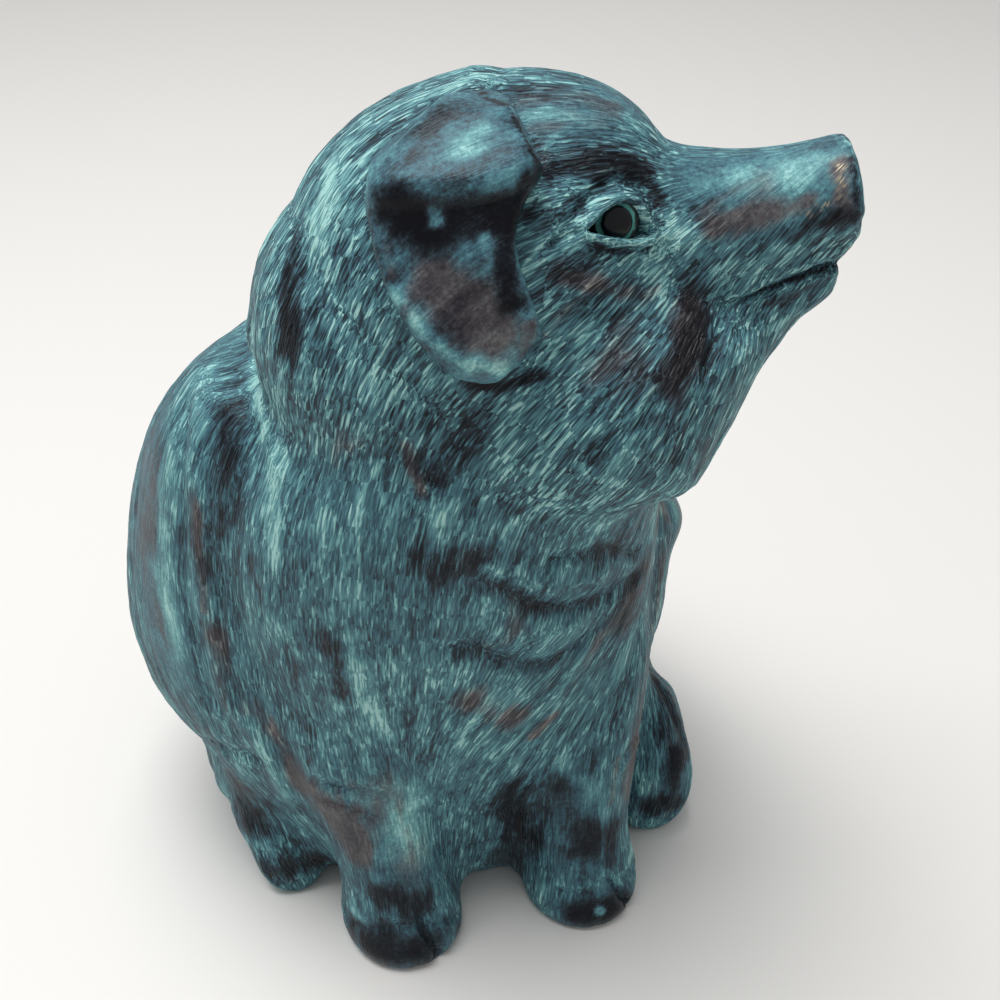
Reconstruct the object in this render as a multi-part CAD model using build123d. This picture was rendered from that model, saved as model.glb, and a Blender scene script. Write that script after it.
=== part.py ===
from build123d import *
import os
from math import cos, radians, sin

# Sitting piglet in hollow cast bronze. Front is -Y, its left is +X, and the origin is the middle of
# the underside. Sizes are millimetres.

# Metal and fits
WALL = 3.5              # wall of the hollow castings
SEAM_GAP = 0.12         # brazed seam between two castings
PEG_FIT = 0.1           # room all round a peg, spigot, pin or screw in its hole

# Torso casting: level rings of (height, to its left, to its back, half width, half depth)
BARREL_RINGS = [
    (0, 0, 0, 34, 32),
    (9, -2, 1, 40.5, 38),
    (24, -4.6, 2, 45.2, 42),
    (42, -6.2, 2, 49.3, 43),
    (60, -6.4, 0, 48.6, 41),
    (76, -7.2, -2.9, 44.3, 37.5),
    (90, -6.8, -8, 39.8, 33.5),
    (102, -7, -12.3, 30.9, 25),
]
CHEST_RINGS = [
    (12, 0, -19, 19, 15),
    (30, -1, -24, 26, 18),
    (48, -3, -26, 31, 20),
    (66, -4, -27, 34, 22),
    (82, -4, -27, 34, 24.5),
    (94, -3, -27, 32, 25.5),
    (104, -1, -27, 28, 25),
    (112, 1, -27, 22, 20),
]

# Head casting, turned to its left, lifted and cocked
HEAD_CENTRE = Vector(0.5, -28, 121)
HEAD_TURN = 75
HEAD_LIFT = 13
HEAD_COCK = 6
SKULL_HALF = (26.6, 25.5, 26.3)       # ahead, to the right, up
JOWL_AT = (10, 0, -17)
JOWL_HALF = (26, 26, 20)
NAPE_AT = (-10.8, 0, -6.2)
NAPE_HALF = (22.2, 24, 24.8)
BROW_AT = (12.4, 0, 7.9)
BROW_HALF = (17, 15.6, 16.6)
# Rings across the head of (ahead, up, half width, half height)
SNOUT_RINGS = [
    (6, 3, 22, 23),
    (14, 2.5, 18.5, 20),
    (21, 1, 15, 16.5),
    (28, -0.3, 12, 13),
    (36, -0.8, 9.6, 10.4),
    (44, -0.6, 8.2, 8.8),
    (50, -0.2, 8, 8.4),
    (53, 0, 8, 8.4),
]
JAW_RINGS = [
    (6, -17, 15, 16),
    (20, -15, 12, 12.5),
    (30, -13, 9, 9.4),
    (38, -11.2, 6.6, 6.9),
    (45, -9.6, 5, 5.2),
    (49.5, -9, 3.4, 3.6),
]
SNOUT_HOLLOW_END = 44   # how far ahead the hollow of the snout reaches
NOSTRIL_RADIUS = 1.5
NOSTRIL_DEPTH = 3
NOSTRIL_SPACING = 6.4
NOSTRIL_UP = 0.8

# Eye beads, placed on the skull by degrees down from the crown and degrees ahead
EYE_RADIUS = 4.2
EYE_SUNK = 2.5          # middle of the bead below the skull's surface
EYE_DOWN = 59
EYE_AHEAD = 55

# Lop ears: middle line over the skull as (degrees down from the crown, degrees ahead,
# stand-off from the skull, half width, half thickness)
EAR_RINGS = [
    (28, 1, -0.3, 8.5, 2.2),
    (43, 3, 1.2, 9.5, 3),
    (62.5, 2, 1.8, 9, 3.2),
    (80.5, 4, 2.4, 7.8, 3),
    (93, 8, 3.3, 6, 2.6),
    (99, 11, 3.9, 3.2, 2),
]
EAR_ROOT_ALONG = (14, -9.5, 9)      # direction of the root line: ahead, to the side, up
EAR_PEG_RADIUS = 2
EAR_PEG_LENGTH = 12

# Forelegs: level rings of (height, to the side, to its back, half width, half depth)
FORELEG_RINGS = [
    (0, 16.5, -38.5, 9.8, 11),
    (3, 16.5, -38.5, 10.8, 12),
    (10, 16.5, -37.5, 10, 11),
    (20, 17, -35.5, 10, 10.5),
    (34, 19, -32, 11, 11.5),
    (46, 21, -29, 11.5, 12.5),
    (58, 22, -26, 11, 12),
    (70, 21, -24, 8, 8.5),
]
FORELEG_LEAN = -0.05    # sideways drift of both forelegs for each millimetre of height
HOOF_CLEFT_WIDTH = 1.2
HOOF_CLEFT_DEPTH = 5
HOOF_CLEFT_HEIGHT = 8

# Hind legs: upright rings across the foot of (to its back, height, half width, half height)
HIND_FOOT_RINGS = [
    (-31.5, 6, 3.4, 4.5),
    (-29.5, 7.5, 7.5, 8),
    (-22.5, 10.8, 9.5, 11.8),
    (-12, 14, 10, 15.2),
    (-2, 15, 9, 16.2),
]
HIND_FOOT_SIDE = 34.5
RIGHT_HIND_FOOT_BACK = 3            # the right hind foot stands further back than the left
HAUNCH_HALF = (13, 22, 23)
HAUNCH_LEFT_AT = (29.5, 0, 25)
HAUNCH_RIGHT_AT = (-38.3, 2, 25)

# Spigots of the legs
SPIGOT_RADIUS = 4
FORELEG_SPIGOT_LOW = 14
FORELEG_SPIGOT_HIGH = 38
HIND_SPIGOT_FRONT = -24
HIND_SPIGOT_BACK = -4
HIND_SPIGOT_HEIGHT = 14

# Tail curl on the rump
TAIL_HEIGHT = 30
TAIL_RADIUS = 2.4
TAIL_CURL_RADIUS = 6
TAIL_CURL_TURN = 300
TAIL_PEG_LENGTH = 8

# Spigot on the neck, the web in the head that it fits, and the pins that lock them
NECK_SPIGOT_RADIUS = 14
NECK_SPIGOT_TOP = 125
WEB_LOW = 114
WEB_HIGH = 122
NECK_PIN_RADIUS = 1.5
NECK_PIN_START = 8                  # inner end of each pin, from the middle of the neck
NECK_PIN_SUNK = 0.6                 # outer end below the chased surface
NECK_PIN_TURNS = (90, 180, 270)     # degrees round the neck from the pig's left

# Underside
FELT_THICKNESS = 1.5
PLATE_THICKNESS = 2.5
PLATE_FIT = 0.3
RIM = 2.5               # metal left round the plate
LEDGE_WIDTH = 8
SCREW_RADIUS = 1.5
SCREW_HEAD_RADIUS = 2.8
SCREW_HEAD_HEIGHT = 1.6
SCREW_LENGTH = 6.5
SCREW_INSET = 4         # from the edge of the plate's seat to the screws
SCREW_TURNS = (45, 135, 225, 315)


def level_rings(rings, grow=0.0, side=1, lean=0.0):
    """Smooth solid through level ellipses, each grown outwards by the same amount."""
    faces = []
    for height, across, back, half_width, half_depth in rings:
        middle = Pos(side * across + lean * height, back, height)
        faces.append(middle * Ellipse(half_width + grow, half_depth + grow))
    return loft(faces)


def barrel(grow=0.0):
    return level_rings(BARREL_RINGS, grow)


def chest(grow=0.0):
    return level_rings(CHEST_RINGS, grow)


def torso_form(grow=0.0):
    return barrel(grow) + chest(grow)


def lowered_top(rings, drop):
    """The same rings with the top one lowered, so that a hollow keeps its roof."""
    height, across, back, half_width, half_depth = rings[-1]
    return rings[:-1] + [(height - drop, across, back, half_width, half_depth)]


TURN = radians(HEAD_TURN)
LIFT = radians(HEAD_LIFT)
COCK = radians(HEAD_COCK)
LEVEL_AHEAD = Vector(sin(TURN), -cos(TURN), 0)
AHEAD = LEVEL_AHEAD * cos(LIFT) + Vector(0, 0, sin(LIFT))
UPRIGHT = LEVEL_AHEAD * -sin(LIFT) + Vector(0, 0, cos(LIFT))
SIDEWAYS = AHEAD.cross(UPRIGHT)
RIGHT = SIDEWAYS * cos(COCK) + UPRIGHT * sin(COCK)
UP = UPRIGHT * cos(COCK) - SIDEWAYS * sin(COCK)


def head_point(ahead, right, up):
    return HEAD_CENTRE + AHEAD * ahead + RIGHT * right + UP * up


def skull_point(side, down, ahead, stand_off):
    """Point over the skull: degrees down from the crown, degrees ahead and height off its surface."""
    half_ahead, half_right, half_up = (size + stand_off for size in SKULL_HALF)
    level = cos(radians(ahead))
    right = side * half_right * level * sin(radians(down))
    return head_point(half_ahead * sin(radians(ahead)), right, half_up * level * cos(radians(down)))


def head_ball(at, half, grow=0.0):
    """Ellipsoid in the head, with half sizes ahead, to the right and up."""
    ahead, right, up = (size + grow for size in half)
    ball = scale(Sphere(1), by=(right, up, ahead))
    return Plane(head_point(*at), x_dir=RIGHT, z_dir=AHEAD).location * ball


def head_rings(rings, grow=0.0):
    """Smooth solid through ellipses that stand across the head."""
    faces = []
    for ahead, up, half_width, half_height in rings:
        across = Plane(head_point(ahead, 0, up), x_dir=RIGHT, z_dir=AHEAD)
        faces.append(across * Ellipse(half_width + grow, half_height + grow))
    return loft(faces)


def head_form(grow=0.0):
    form = head_ball((0, 0, 0), SKULL_HALF, grow) + head_ball(JOWL_AT, JOWL_HALF, grow)
    form += head_ball(NAPE_AT, NAPE_HALF, grow) + head_ball(BROW_AT, BROW_HALF, grow)
    return form + head_rings(SNOUT_RINGS, grow) + head_rings(JAW_RINGS, grow)


def rod(start, end, radius):
    """Round rod from one point to another."""
    along = end - start
    return extrude(Plane(start, z_dir=along) * Circle(radius), along.length)


# Forms that several castings are cut against
torso_outside = torso_form()
torso_clear = torso_form(SEAM_GAP)
head_outside = head_form()
head_clear = head_form(SEAM_GAP)

# Forelegs
def foreleg_form(side, grow=0.0):
    return level_rings(FORELEG_RINGS, grow, side, FORELEG_LEAN)


def foreleg_axis(side, height):
    """Middle of a foreleg at a height between two of its rings."""
    for low, high in zip(FORELEG_RINGS, FORELEG_RINGS[1:]):
        if low[0] <= height <= high[0]:
            share = (height - low[0]) / (high[0] - low[0])
            across = low[1] + share * (high[1] - low[1])
            back = low[2] + share * (high[2] - low[2])
            return Vector(side * across + FORELEG_LEAN * height, back, height)


def foreleg_spigot(side, grow=0.0):
    low = foreleg_axis(side, FORELEG_SPIGOT_LOW)
    high = foreleg_axis(side, FORELEG_SPIGOT_HIGH)
    return rod(low, high, SPIGOT_RADIUS + grow)


def foreleg(side):
    height, across, back, half_width, half_depth = FORELEG_RINGS[1]
    toe = Pos(side * across, back - half_depth, 0)
    cleft = toe * Box(HOOF_CLEFT_WIDTH, 2 * HOOF_CLEFT_DEPTH, 2 * HOOF_CLEFT_HEIGHT)
    return foreleg_form(side) - torso_clear - cleft + foreleg_spigot(side)


# Hind legs
def hind_foot(side, shift):
    faces = []
    for back, height, half_width, half_height in HIND_FOOT_RINGS:
        across = Plane((side * HIND_FOOT_SIDE, back + shift, height), x_dir=(1, 0, 0), z_dir=(0, 1, 0))
        faces.append(across * Ellipse(half_width, half_height))
    return loft(faces)


def hind_spigot(side, shift, grow=0.0):
    front = Vector(side * HIND_FOOT_SIDE, HIND_SPIGOT_FRONT + shift, HIND_SPIGOT_HEIGHT)
    back = Vector(side * HIND_FOOT_SIDE, HIND_SPIGOT_BACK + shift, HIND_SPIGOT_HEIGHT)
    return rod(front, back, SPIGOT_RADIUS + grow)


def hind_leg(side, shift, haunch_at):
    haunch = Pos(*haunch_at) * scale(Sphere(1), by=HAUNCH_HALF)
    reach = 4 * BARREL_RINGS[0][3]
    below_floor = Pos(0, 0, -reach / 2) * Box(reach, reach, reach)
    form = hind_foot(side, shift) + haunch - below_floor
    return form - torso_clear - foreleg_form(side, SEAM_GAP) + hind_spigot(side, shift)


# Ears
def ear_form(side):
    points = [skull_point(side, *ring[:3]) for ring in EAR_RINGS]
    root_ahead, root_out, root_up = EAR_ROOT_ALONG
    root_line = AHEAD * root_ahead + RIGHT * (side * root_out) + UP * root_up
    leads = [root_line.normalized(), (root_line.normalized() + AHEAD).normalized()]
    faces = []
    for index, ring in enumerate(EAR_RINGS):
        before = points[max(index - 1, 0)]
        after = points[min(index + 1, len(points) - 1)]
        along = (after - before).normalized()
        lead = leads[index] if index < len(leads) else AHEAD
        width_way = lead - along * lead.dot(along)
        faces.append(Plane(points[index], x_dir=width_way, z_dir=along) * Ellipse(ring[3], ring[4]))
    return loft(faces)


def ear_peg(side, grow=0.0):
    root = skull_point(side, *EAR_RINGS[1][:3])
    inward = (HEAD_CENTRE - root).normalized()
    return rod(root, root + inward * EAR_PEG_LENGTH, EAR_PEG_RADIUS + grow)


def ear(side):
    return ear_form(side) - head_clear - torso_clear + ear_peg(side)


# Eyes
def eye(side, grow=0.0):
    return Pos(skull_point(side, EYE_DOWN, EYE_AHEAD, -EYE_SUNK)) * Sphere(EYE_RADIUS + grow)


# Neck joint
NECK_MIDDLE = Vector(*CHEST_RINGS[-1][1:3])
NECK_TOP = CHEST_RINGS[-1][0]


def neck_spigot(grow=0.0):
    low = NECK_MIDDLE + Vector(0, 0, NECK_TOP - WALL)
    high = NECK_MIDDLE + Vector(0, 0, NECK_SPIGOT_TOP + grow)
    return rod(low, high, NECK_SPIGOT_RADIUS + grow)


def neck_pin_rods(grow=0.0):
    """Three level rods that reach from the spigot out past the head's surface."""
    middle = NECK_MIDDLE + Vector(0, 0, (WEB_LOW + WEB_HIGH) / 2)
    rods = []
    for turn in NECK_PIN_TURNS:
        out = Vector(1, 0, 0).rotate(Axis.Z, turn)
        inner = middle + out * (NECK_PIN_START - grow)
        outer = middle + out * 2 * max(SKULL_HALF)
        rods.append(rod(inner, outer, NECK_PIN_RADIUS + grow))
    return rods


# Underside: the plate's seat, the ledge that carries it and the screws
SEAT_HEIGHT = FELT_THICKNESS + PLATE_THICKNESS
LEDGE_TOP = BARREL_RINGS[1][0]
SEAT_HALF_WIDTH = BARREL_RINGS[0][3] - RIM
SEAT_HALF_DEPTH = BARREL_RINGS[0][4] - RIM


def level_slab(half_width, half_depth, low, high):
    """Flat elliptical slab between two heights."""
    return extrude(Pos(0, 0, low) * Ellipse(half_width, half_depth), high - low)


def screw_places():
    places = []
    for turn in SCREW_TURNS:
        across = (SEAT_HALF_WIDTH - SCREW_INSET) * cos(radians(turn))
        back = (SEAT_HALF_DEPTH - SCREW_INSET) * sin(radians(turn))
        places.append(Pos(across, back, FELT_THICKNESS))
    return places


def screw(grow=0.0):
    """Countersunk screw, head down, with the top of its head at the origin."""
    on_base = (Align.CENTER, Align.CENTER, Align.MIN)
    head = Cone(SCREW_HEAD_RADIUS + grow, SCREW_RADIUS + grow, SCREW_HEAD_HEIGHT, align=on_base)
    return head + Cylinder(SCREW_RADIUS + grow, SCREW_LENGTH + grow, align=on_base)


# Tail
def barrel_back(height):
    """Where the barrel's back line is at a height, between two of its rings."""
    for low, high in zip(BARREL_RINGS, BARREL_RINGS[1:]):
        if low[0] <= height <= high[0]:
            share = (height - low[0]) / (high[0] - low[0])
            across = low[1] + share * (high[1] - low[1])
            back = low[2] + low[4] + share * (high[2] + high[4] - low[2] - low[4])
            return Vector(across, back, height)


def tail_peg(grow=0.0):
    rump = barrel_back(TAIL_HEIGHT)
    outer = rump + Vector(0, TAIL_RADIUS, 0)
    return rod(outer, outer - Vector(0, TAIL_PEG_LENGTH, 0), TAIL_RADIUS + grow)


def tail():
    rump = barrel_back(TAIL_HEIGHT) + Vector(0, TAIL_RADIUS, 0)
    middle = rump + Vector(TAIL_CURL_RADIUS, 0, 0)
    curl_axis = Axis(middle, (0, 1, 0))
    section = Plane(rump, z_dir=(0, 0, 1)) * Circle(TAIL_RADIUS)
    curl = revolve(section, curl_axis, TAIL_CURL_TURN)
    tip = Vector(-TAIL_CURL_RADIUS, 0, 0).rotate(Axis.Y, TAIL_CURL_TURN) + middle
    ends = Pos(rump) * Sphere(TAIL_RADIUS) + Pos(tip) * Sphere(TAIL_RADIUS)
    return curl + ends - torso_clear + tail_peg()


# Torso casting
def torso_shell():
    barrel_hollow = level_rings(lowered_top(BARREL_RINGS[1:], WALL), -WALL)
    chest_hollow = level_rings(lowered_top(CHEST_RINGS, WALL), -WALL)
    seat = level_slab(SEAT_HALF_WIDTH, SEAT_HALF_DEPTH, -WALL, SEAT_HEIGHT)
    throat_width = SEAT_HALF_WIDTH - LEDGE_WIDTH
    throat_depth = SEAT_HALF_DEPTH - LEDGE_WIDTH
    throat = level_slab(throat_width, throat_depth, -WALL, LEDGE_TOP + WALL)
    shell = torso_outside - (barrel_hollow + chest_hollow + throat) - seat + neck_spigot()
    for side in (1, -1):
        shell -= foreleg_spigot(side, PEG_FIT)
    shell -= hind_spigot(1, 0, PEG_FIT)
    shell -= hind_spigot(-1, RIGHT_HIND_FOOT_BACK, PEG_FIT)
    shell -= tail_peg(PEG_FIT)
    for place in screw_places():
        shell -= place * screw(PEG_FIT)
    for pin in neck_pin_rods(PEG_FIT):
        shell -= pin
    return shell


# Head casting
def nostril(side):
    snout_end = SNOUT_RINGS[-1][0]
    right = side * NOSTRIL_SPACING / 2
    bottom = head_point(snout_end - NOSTRIL_DEPTH, right, NOSTRIL_UP)
    return rod(bottom, bottom + AHEAD * 2 * NOSTRIL_DEPTH, NOSTRIL_RADIUS)


def head_shell():
    hollow_rings = [ring for ring in SNOUT_RINGS if ring[0] <= SNOUT_HOLLOW_END]
    hollow = head_ball((0, 0, 0), SKULL_HALF, -WALL) + head_ball(JOWL_AT, JOWL_HALF, -WALL)
    hollow += head_ball(NAPE_AT, NAPE_HALF, -WALL)
    hollow += head_rings(hollow_rings, -WALL)
    reach = 4 * max(SKULL_HALF)
    hollow -= Pos(0, 0, (WEB_LOW + WEB_HIGH) / 2) * Box(reach, reach, WEB_HIGH - WEB_LOW)
    shell = head_outside - hollow - torso_clear - neck_spigot(PEG_FIT)
    for side in (1, -1):
        shell -= ear_peg(side, PEG_FIT)
        shell -= eye(side, PEG_FIT)
        shell -= nostril(side)
    for pin in neck_pin_rods(PEG_FIT):
        shell -= pin
    return shell


def base_plate():
    half_width = SEAT_HALF_WIDTH - PLATE_FIT
    half_depth = SEAT_HALF_DEPTH - PLATE_FIT
    plate = level_slab(half_width, half_depth, FELT_THICKNESS, SEAT_HEIGHT)
    for place in screw_places():
        plate -= place * screw(PEG_FIT)
    return plate


def neck_pins():
    inside = head_form(-NECK_PIN_SUNK)
    return [pin & inside for pin in neck_pin_rods()]


def felt_pad():
    return level_slab(SEAT_HALF_WIDTH - PLATE_FIT, SEAT_HALF_DEPTH - PLATE_FIT, 0, FELT_THICKNESS)


parts = {
    "torso_shell": torso_shell(),
    "head_shell": head_shell(),
    "right_foreleg": foreleg(-1),
    "left_foreleg": foreleg(1),
    "right_hind_leg": hind_leg(-1, RIGHT_HIND_FOOT_BACK, HAUNCH_RIGHT_AT),
    "left_hind_leg": hind_leg(1, 0, HAUNCH_LEFT_AT),
    "right_ear": ear(1),
    "left_ear": ear(-1),
    "right_eye": eye(1),
    "left_eye": eye(-1),
    "tail": tail(),
    "neck_pins": Compound(children=neck_pins()),
    "base_plate": base_plate(),
    "base_screws": Compound(children=[place * screw() for place in screw_places()]),
    "felt_pad": felt_pad(),
}
os.makedirs("parts", exist_ok=True)
for name, shape in parts.items():
    export_step(shape, "parts/" + name + ".step")
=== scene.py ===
import math

import bmesh
import bpy
import numpy as np
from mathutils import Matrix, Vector
from mathutils.bvhtree import BVHTree


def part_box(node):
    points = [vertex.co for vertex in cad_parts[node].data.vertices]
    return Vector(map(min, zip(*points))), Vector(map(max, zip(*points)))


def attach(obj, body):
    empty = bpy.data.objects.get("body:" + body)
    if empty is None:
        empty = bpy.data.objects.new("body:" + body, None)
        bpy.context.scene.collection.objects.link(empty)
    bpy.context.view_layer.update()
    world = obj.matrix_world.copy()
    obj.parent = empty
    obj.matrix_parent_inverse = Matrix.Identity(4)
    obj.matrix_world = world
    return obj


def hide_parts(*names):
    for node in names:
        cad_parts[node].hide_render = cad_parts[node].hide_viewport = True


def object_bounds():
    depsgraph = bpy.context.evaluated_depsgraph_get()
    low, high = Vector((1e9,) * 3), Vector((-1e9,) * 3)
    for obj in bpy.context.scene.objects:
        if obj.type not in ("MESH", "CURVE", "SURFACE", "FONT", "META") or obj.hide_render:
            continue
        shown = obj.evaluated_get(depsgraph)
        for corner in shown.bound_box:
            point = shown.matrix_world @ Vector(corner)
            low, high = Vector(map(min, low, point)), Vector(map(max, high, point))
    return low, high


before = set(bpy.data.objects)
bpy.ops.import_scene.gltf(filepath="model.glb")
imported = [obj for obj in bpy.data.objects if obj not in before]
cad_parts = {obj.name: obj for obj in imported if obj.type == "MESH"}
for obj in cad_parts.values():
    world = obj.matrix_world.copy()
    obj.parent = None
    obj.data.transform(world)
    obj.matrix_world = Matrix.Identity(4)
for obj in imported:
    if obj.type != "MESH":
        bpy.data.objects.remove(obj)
cad_box = [[float(value) for value in corner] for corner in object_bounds()]
scene = bpy.context.scene
scene.view_settings.view_transform = "Standard"

# The viewpoint: the photograph looks down on the figurine from its right front, from about 0.28 m.
# Places on the bronze are named further on by the pixels at which this view shows them.
MM = 0.001
CAMERA_AT = Vector((-40.5, -195.3, 203)) * MM
CAMERA_TURN = -15
CAMERA_DOWN = 35
FOCAL_PIXELS = 1350
PHOTO_PIXELS = 1000
camera_data = bpy.data.cameras.new("camera")
camera_data.sensor_width = 36
camera_data.lens = camera_data.sensor_width * FOCAL_PIXELS / PHOTO_PIXELS
camera_data.clip_start = 0.01
camera = bpy.data.objects.new("camera", camera_data)
camera.location = CAMERA_AT
camera.rotation_euler = (math.radians(90 - CAMERA_DOWN), 0, math.radians(CAMERA_TURN))
scene.collection.objects.link(camera)
scene.camera = camera
camera_axes = camera.rotation_euler.to_matrix()


def photo_ray(across, down):
    """Direction from the camera through a pixel of the photograph."""
    half = PHOTO_PIXELS / 2
    return (camera_axes @ Vector((across - half, half - down, -FOCAL_PIXELS))).normalized()


def photo_pixels(places):
    """Pixels of the photograph at which places, in mm, show."""
    seen = (places * MM - np.array(CAMERA_AT)) @ np.array(camera_axes)
    scaled = FOCAL_PIXELS * seen[:, :2] / -seen[:, 2:]
    return PHOTO_PIXELS / 2 + scaled * (1, -1)


# The castings: hollow bronze sections, fitted, pinned and brazed, then chased over until the seams are
# gone. Their solids are closed up into one skin here, which is modelled whole and parted again below.
CASTINGS = (
    "torso_shell",
    "head_shell",
    "right_ear",
    "left_ear",
    "right_foreleg",
    "left_foreleg",
    "right_hind_leg",
    "left_hind_leg",
    "tail",
)
TORSO = CASTINGS.index("torso_shell")
HEAD = CASTINGS.index("head_shell")
RIGHT_EAR = CASTINGS.index("right_ear")
LEFT_EAR = CASTINGS.index("left_ear")
TAIL = CASTINGS.index("tail")
SET_IN_HEAD = ("right_eye", "left_eye", "neck_pins")
UNDER_PARTS = ("base_plate", "felt_pad")
SKIN_GRAIN = 0.65
assembly = bmesh.new()
triangle_owner = []
for number, name in enumerate(CASTINGS + SET_IN_HEAD + UNDER_PARTS):
    assembly.from_mesh(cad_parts[name].data)
    triangle_owner += [number] * (len(assembly.faces) - len(triangle_owner))
solids_tree = BVHTree.FromBMesh(assembly)
bmesh.ops.remove_doubles(assembly, verts=assembly.verts, dist=0.001 * MM)
assembly_mesh = bpy.data.meshes.new("assembly")
assembly.to_mesh(assembly_mesh)
assembly.free()
rough = bpy.data.objects.new("rough_skin", assembly_mesh)
scene.collection.objects.link(rough)
closing = rough.modifiers.new("close_seams", "REMESH")
closing.mode = "VOXEL"
closing.voxel_size = SKIN_GRAIN * MM
skin_mesh = bpy.data.meshes.new_from_object(rough.evaluated_get(bpy.context.evaluated_depsgraph_get()))
bpy.data.objects.remove(rough)

# The head's own axes, as the solids have them: turned to the left, lifted and cocked.
HEAD_CENTRE = np.array((0.5, -28, 121))
HEAD_TURN = math.radians(75)
HEAD_LIFT = math.radians(13)
HEAD_COCK = math.radians(6)
level_ahead = np.array((math.sin(HEAD_TURN), -math.cos(HEAD_TURN), 0))
head_ahead = level_ahead * math.cos(HEAD_LIFT) + np.array((0, 0, math.sin(HEAD_LIFT)))
upright = -level_ahead * math.sin(HEAD_LIFT) + np.array((0, 0, math.cos(HEAD_LIFT)))
sideways = np.cross(head_ahead, upright)
head_right = sideways * math.cos(HEAD_COCK) + upright * math.sin(HEAD_COCK)
head_up = upright * math.cos(HEAD_COCK) - sideways * math.sin(HEAD_COCK)
head_axes = np.stack((head_ahead, head_right, head_up))

# Only the outer skin is kept, without the walls of the hollows inside. The face carries the finest
# modelling, so its grain is halved.
FACE_AHEAD = 8
FACE_UP = -20
skin = bmesh.new()
skin.from_mesh(skin_mesh)
biggest = []
left = set(skin.verts)
while left:
    island = {left.pop()}
    edge = list(island)
    while edge:
        vertex = edge.pop()
        fresh = [link.other_vert(vertex) for link in vertex.link_edges]
        fresh = [other for other in fresh if other not in island]
        island.update(fresh)
        edge += fresh
    left -= island
    if len(island) > len(biggest):
        biggest = island
strays = [vertex for vertex in skin.verts if vertex not in biggest]
bmesh.ops.delete(skin, geom=strays, context="VERTS")
in_head = (np.array([vertex.co for vertex in skin.verts]) / MM - HEAD_CENTRE) @ head_axes.T
on_face = (in_head[:, 0] > FACE_AHEAD) & (in_head[:, 2] > FACE_UP)
skin.verts.index_update()
face_edges = [link for link in skin.edges if all(on_face[end.index] for end in link.verts)]
bmesh.ops.subdivide_edges(skin, edges=face_edges, cuts=1, use_grid_fill=True)
skin.to_mesh(skin_mesh)
skin.free()

points = np.empty(len(skin_mesh.vertices) * 3)
skin_mesh.vertices.foreach_get("co", points)
points = points.reshape(-1, 3) / MM
links = np.empty(len(skin_mesh.edges) * 2, dtype=np.int32)
skin_mesh.edges.foreach_get("vertices", links)
links = links.reshape(-1, 2)
link_from = np.concatenate((links[:, 0], links[:, 1]))
link_to = np.concatenate((links[:, 1], links[:, 0]))
valence = np.bincount(link_to, minlength=len(points)).astype(float)
everywhere = np.ones(len(points))


def relax(values, weight, rounds):
    """Draw each row of values towards the mean of its neighbours, as far as its weight says."""
    active = np.nonzero(weight > 0.001)[0]
    slot = np.full(len(values), -1)
    slot[active] = np.arange(len(active))
    kept = slot[link_to] >= 0
    into = slot[link_to[kept]]
    out_of = link_from[kept]
    values = values.copy()
    for _ in range(rounds):
        sums = [np.bincount(into, column[out_of], len(active)) for column in values.T]
        means = np.stack(sums, axis=1) / valence[active, None]
        values[active] += weight[active, None] * (means - values[active])
    return values


def skin_normals():
    """Normals of the skin as it stands."""
    skin_mesh.vertices.foreach_set("co", (points * MM).ravel())
    skin_mesh.update()
    normals = np.empty(points.size)
    skin_mesh.vertex_normals.foreach_get("vector", normals)
    return normals.reshape(-1, 3)


def bell(distance, reach):
    """Soft fall from one to nothing, half gone at about 0.6 of the reach."""
    return np.exp(-np.square(distance / (0.7 * reach)))


def smooth_step(low, high, value):
    """Nothing below low, one above high and a soft change between."""
    share = np.clip((value - low) / (high - low), 0, 1)
    return share * share * (3 - 2 * share)


# Which casting each point of the skin lies on. What is set in the head counts as the head's.
owner = np.array([triangle_owner[solids_tree.find_nearest(Vector(place * MM))[2]] for place in points])
owner[(owner >= len(CASTINGS)) & (owner < len(CASTINGS + SET_IN_HEAD))] = HEAD
owner[owner >= len(CASTINGS)] = TORSO
is_ear = (owner == RIGHT_EAR) | (owner == LEFT_EAR)
on_head = (owner == HEAD) | is_ear

# Brazed joints are dressed to soft hollows: the skin is relaxed where two castings meet, but not at the
# ears' roots and on the tail, which stay crisp. The pins' ends are filled and dressed over.
JOINT_SPREAD = 60
JOINT_ROUNDS = 160
PIN_REACH = 5
PIN_ROUNDS = 80
NECK_AXIS = np.array((1, -27))
body_owner = np.where(is_ear, HEAD, owner)
parted = np.zeros(len(points))
parted[links[body_owner[links[:, 0]] != body_owner[links[:, 1]]].ravel()] = 1
joint = relax(parted[:, None], 0.5 * everywhere, JOINT_SPREAD)[:, 0]
joint = np.clip(joint / (0.35 * joint.max()), 0, 1)
joint[is_ear | (owner == TAIL)] = 0
points = relax(points, 0.5 * joint, JOINT_ROUNDS)
points = relax(points, 0.3 * everywhere, 3)
pin_points = np.array([vertex.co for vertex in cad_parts["neck_pins"].data.vertices]) / MM
pin_out = pin_points[:, :2] - NECK_AXIS
pin_turn = np.round(np.degrees(np.arctan2(pin_out[:, 1], pin_out[:, 0])) / 90)
pin_reach = np.linalg.norm(pin_out, axis=1)
pin_dressing = np.zeros(len(points))
for turn in np.unique(pin_turn):
    end = pin_points[np.argmax(np.where(pin_turn == turn, pin_reach, 0))]
    distance = np.linalg.norm(points - end, axis=1)
    pin_dressing = np.maximum(pin_dressing, 0.5 * bell(distance, PIN_REACH))
points = relax(points, pin_dressing, PIN_ROUNDS)
normals = skin_normals()
skin_object = bpy.data.objects.new("skin", skin_mesh)
scene.collection.objects.link(skin_object)


def skin_surface():
    """A tree of the skin as it stands, for finding places on it."""
    skin_object.data.update()
    return BVHTree.FromObject(skin_object, bpy.context.evaluated_depsgraph_get())


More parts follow.
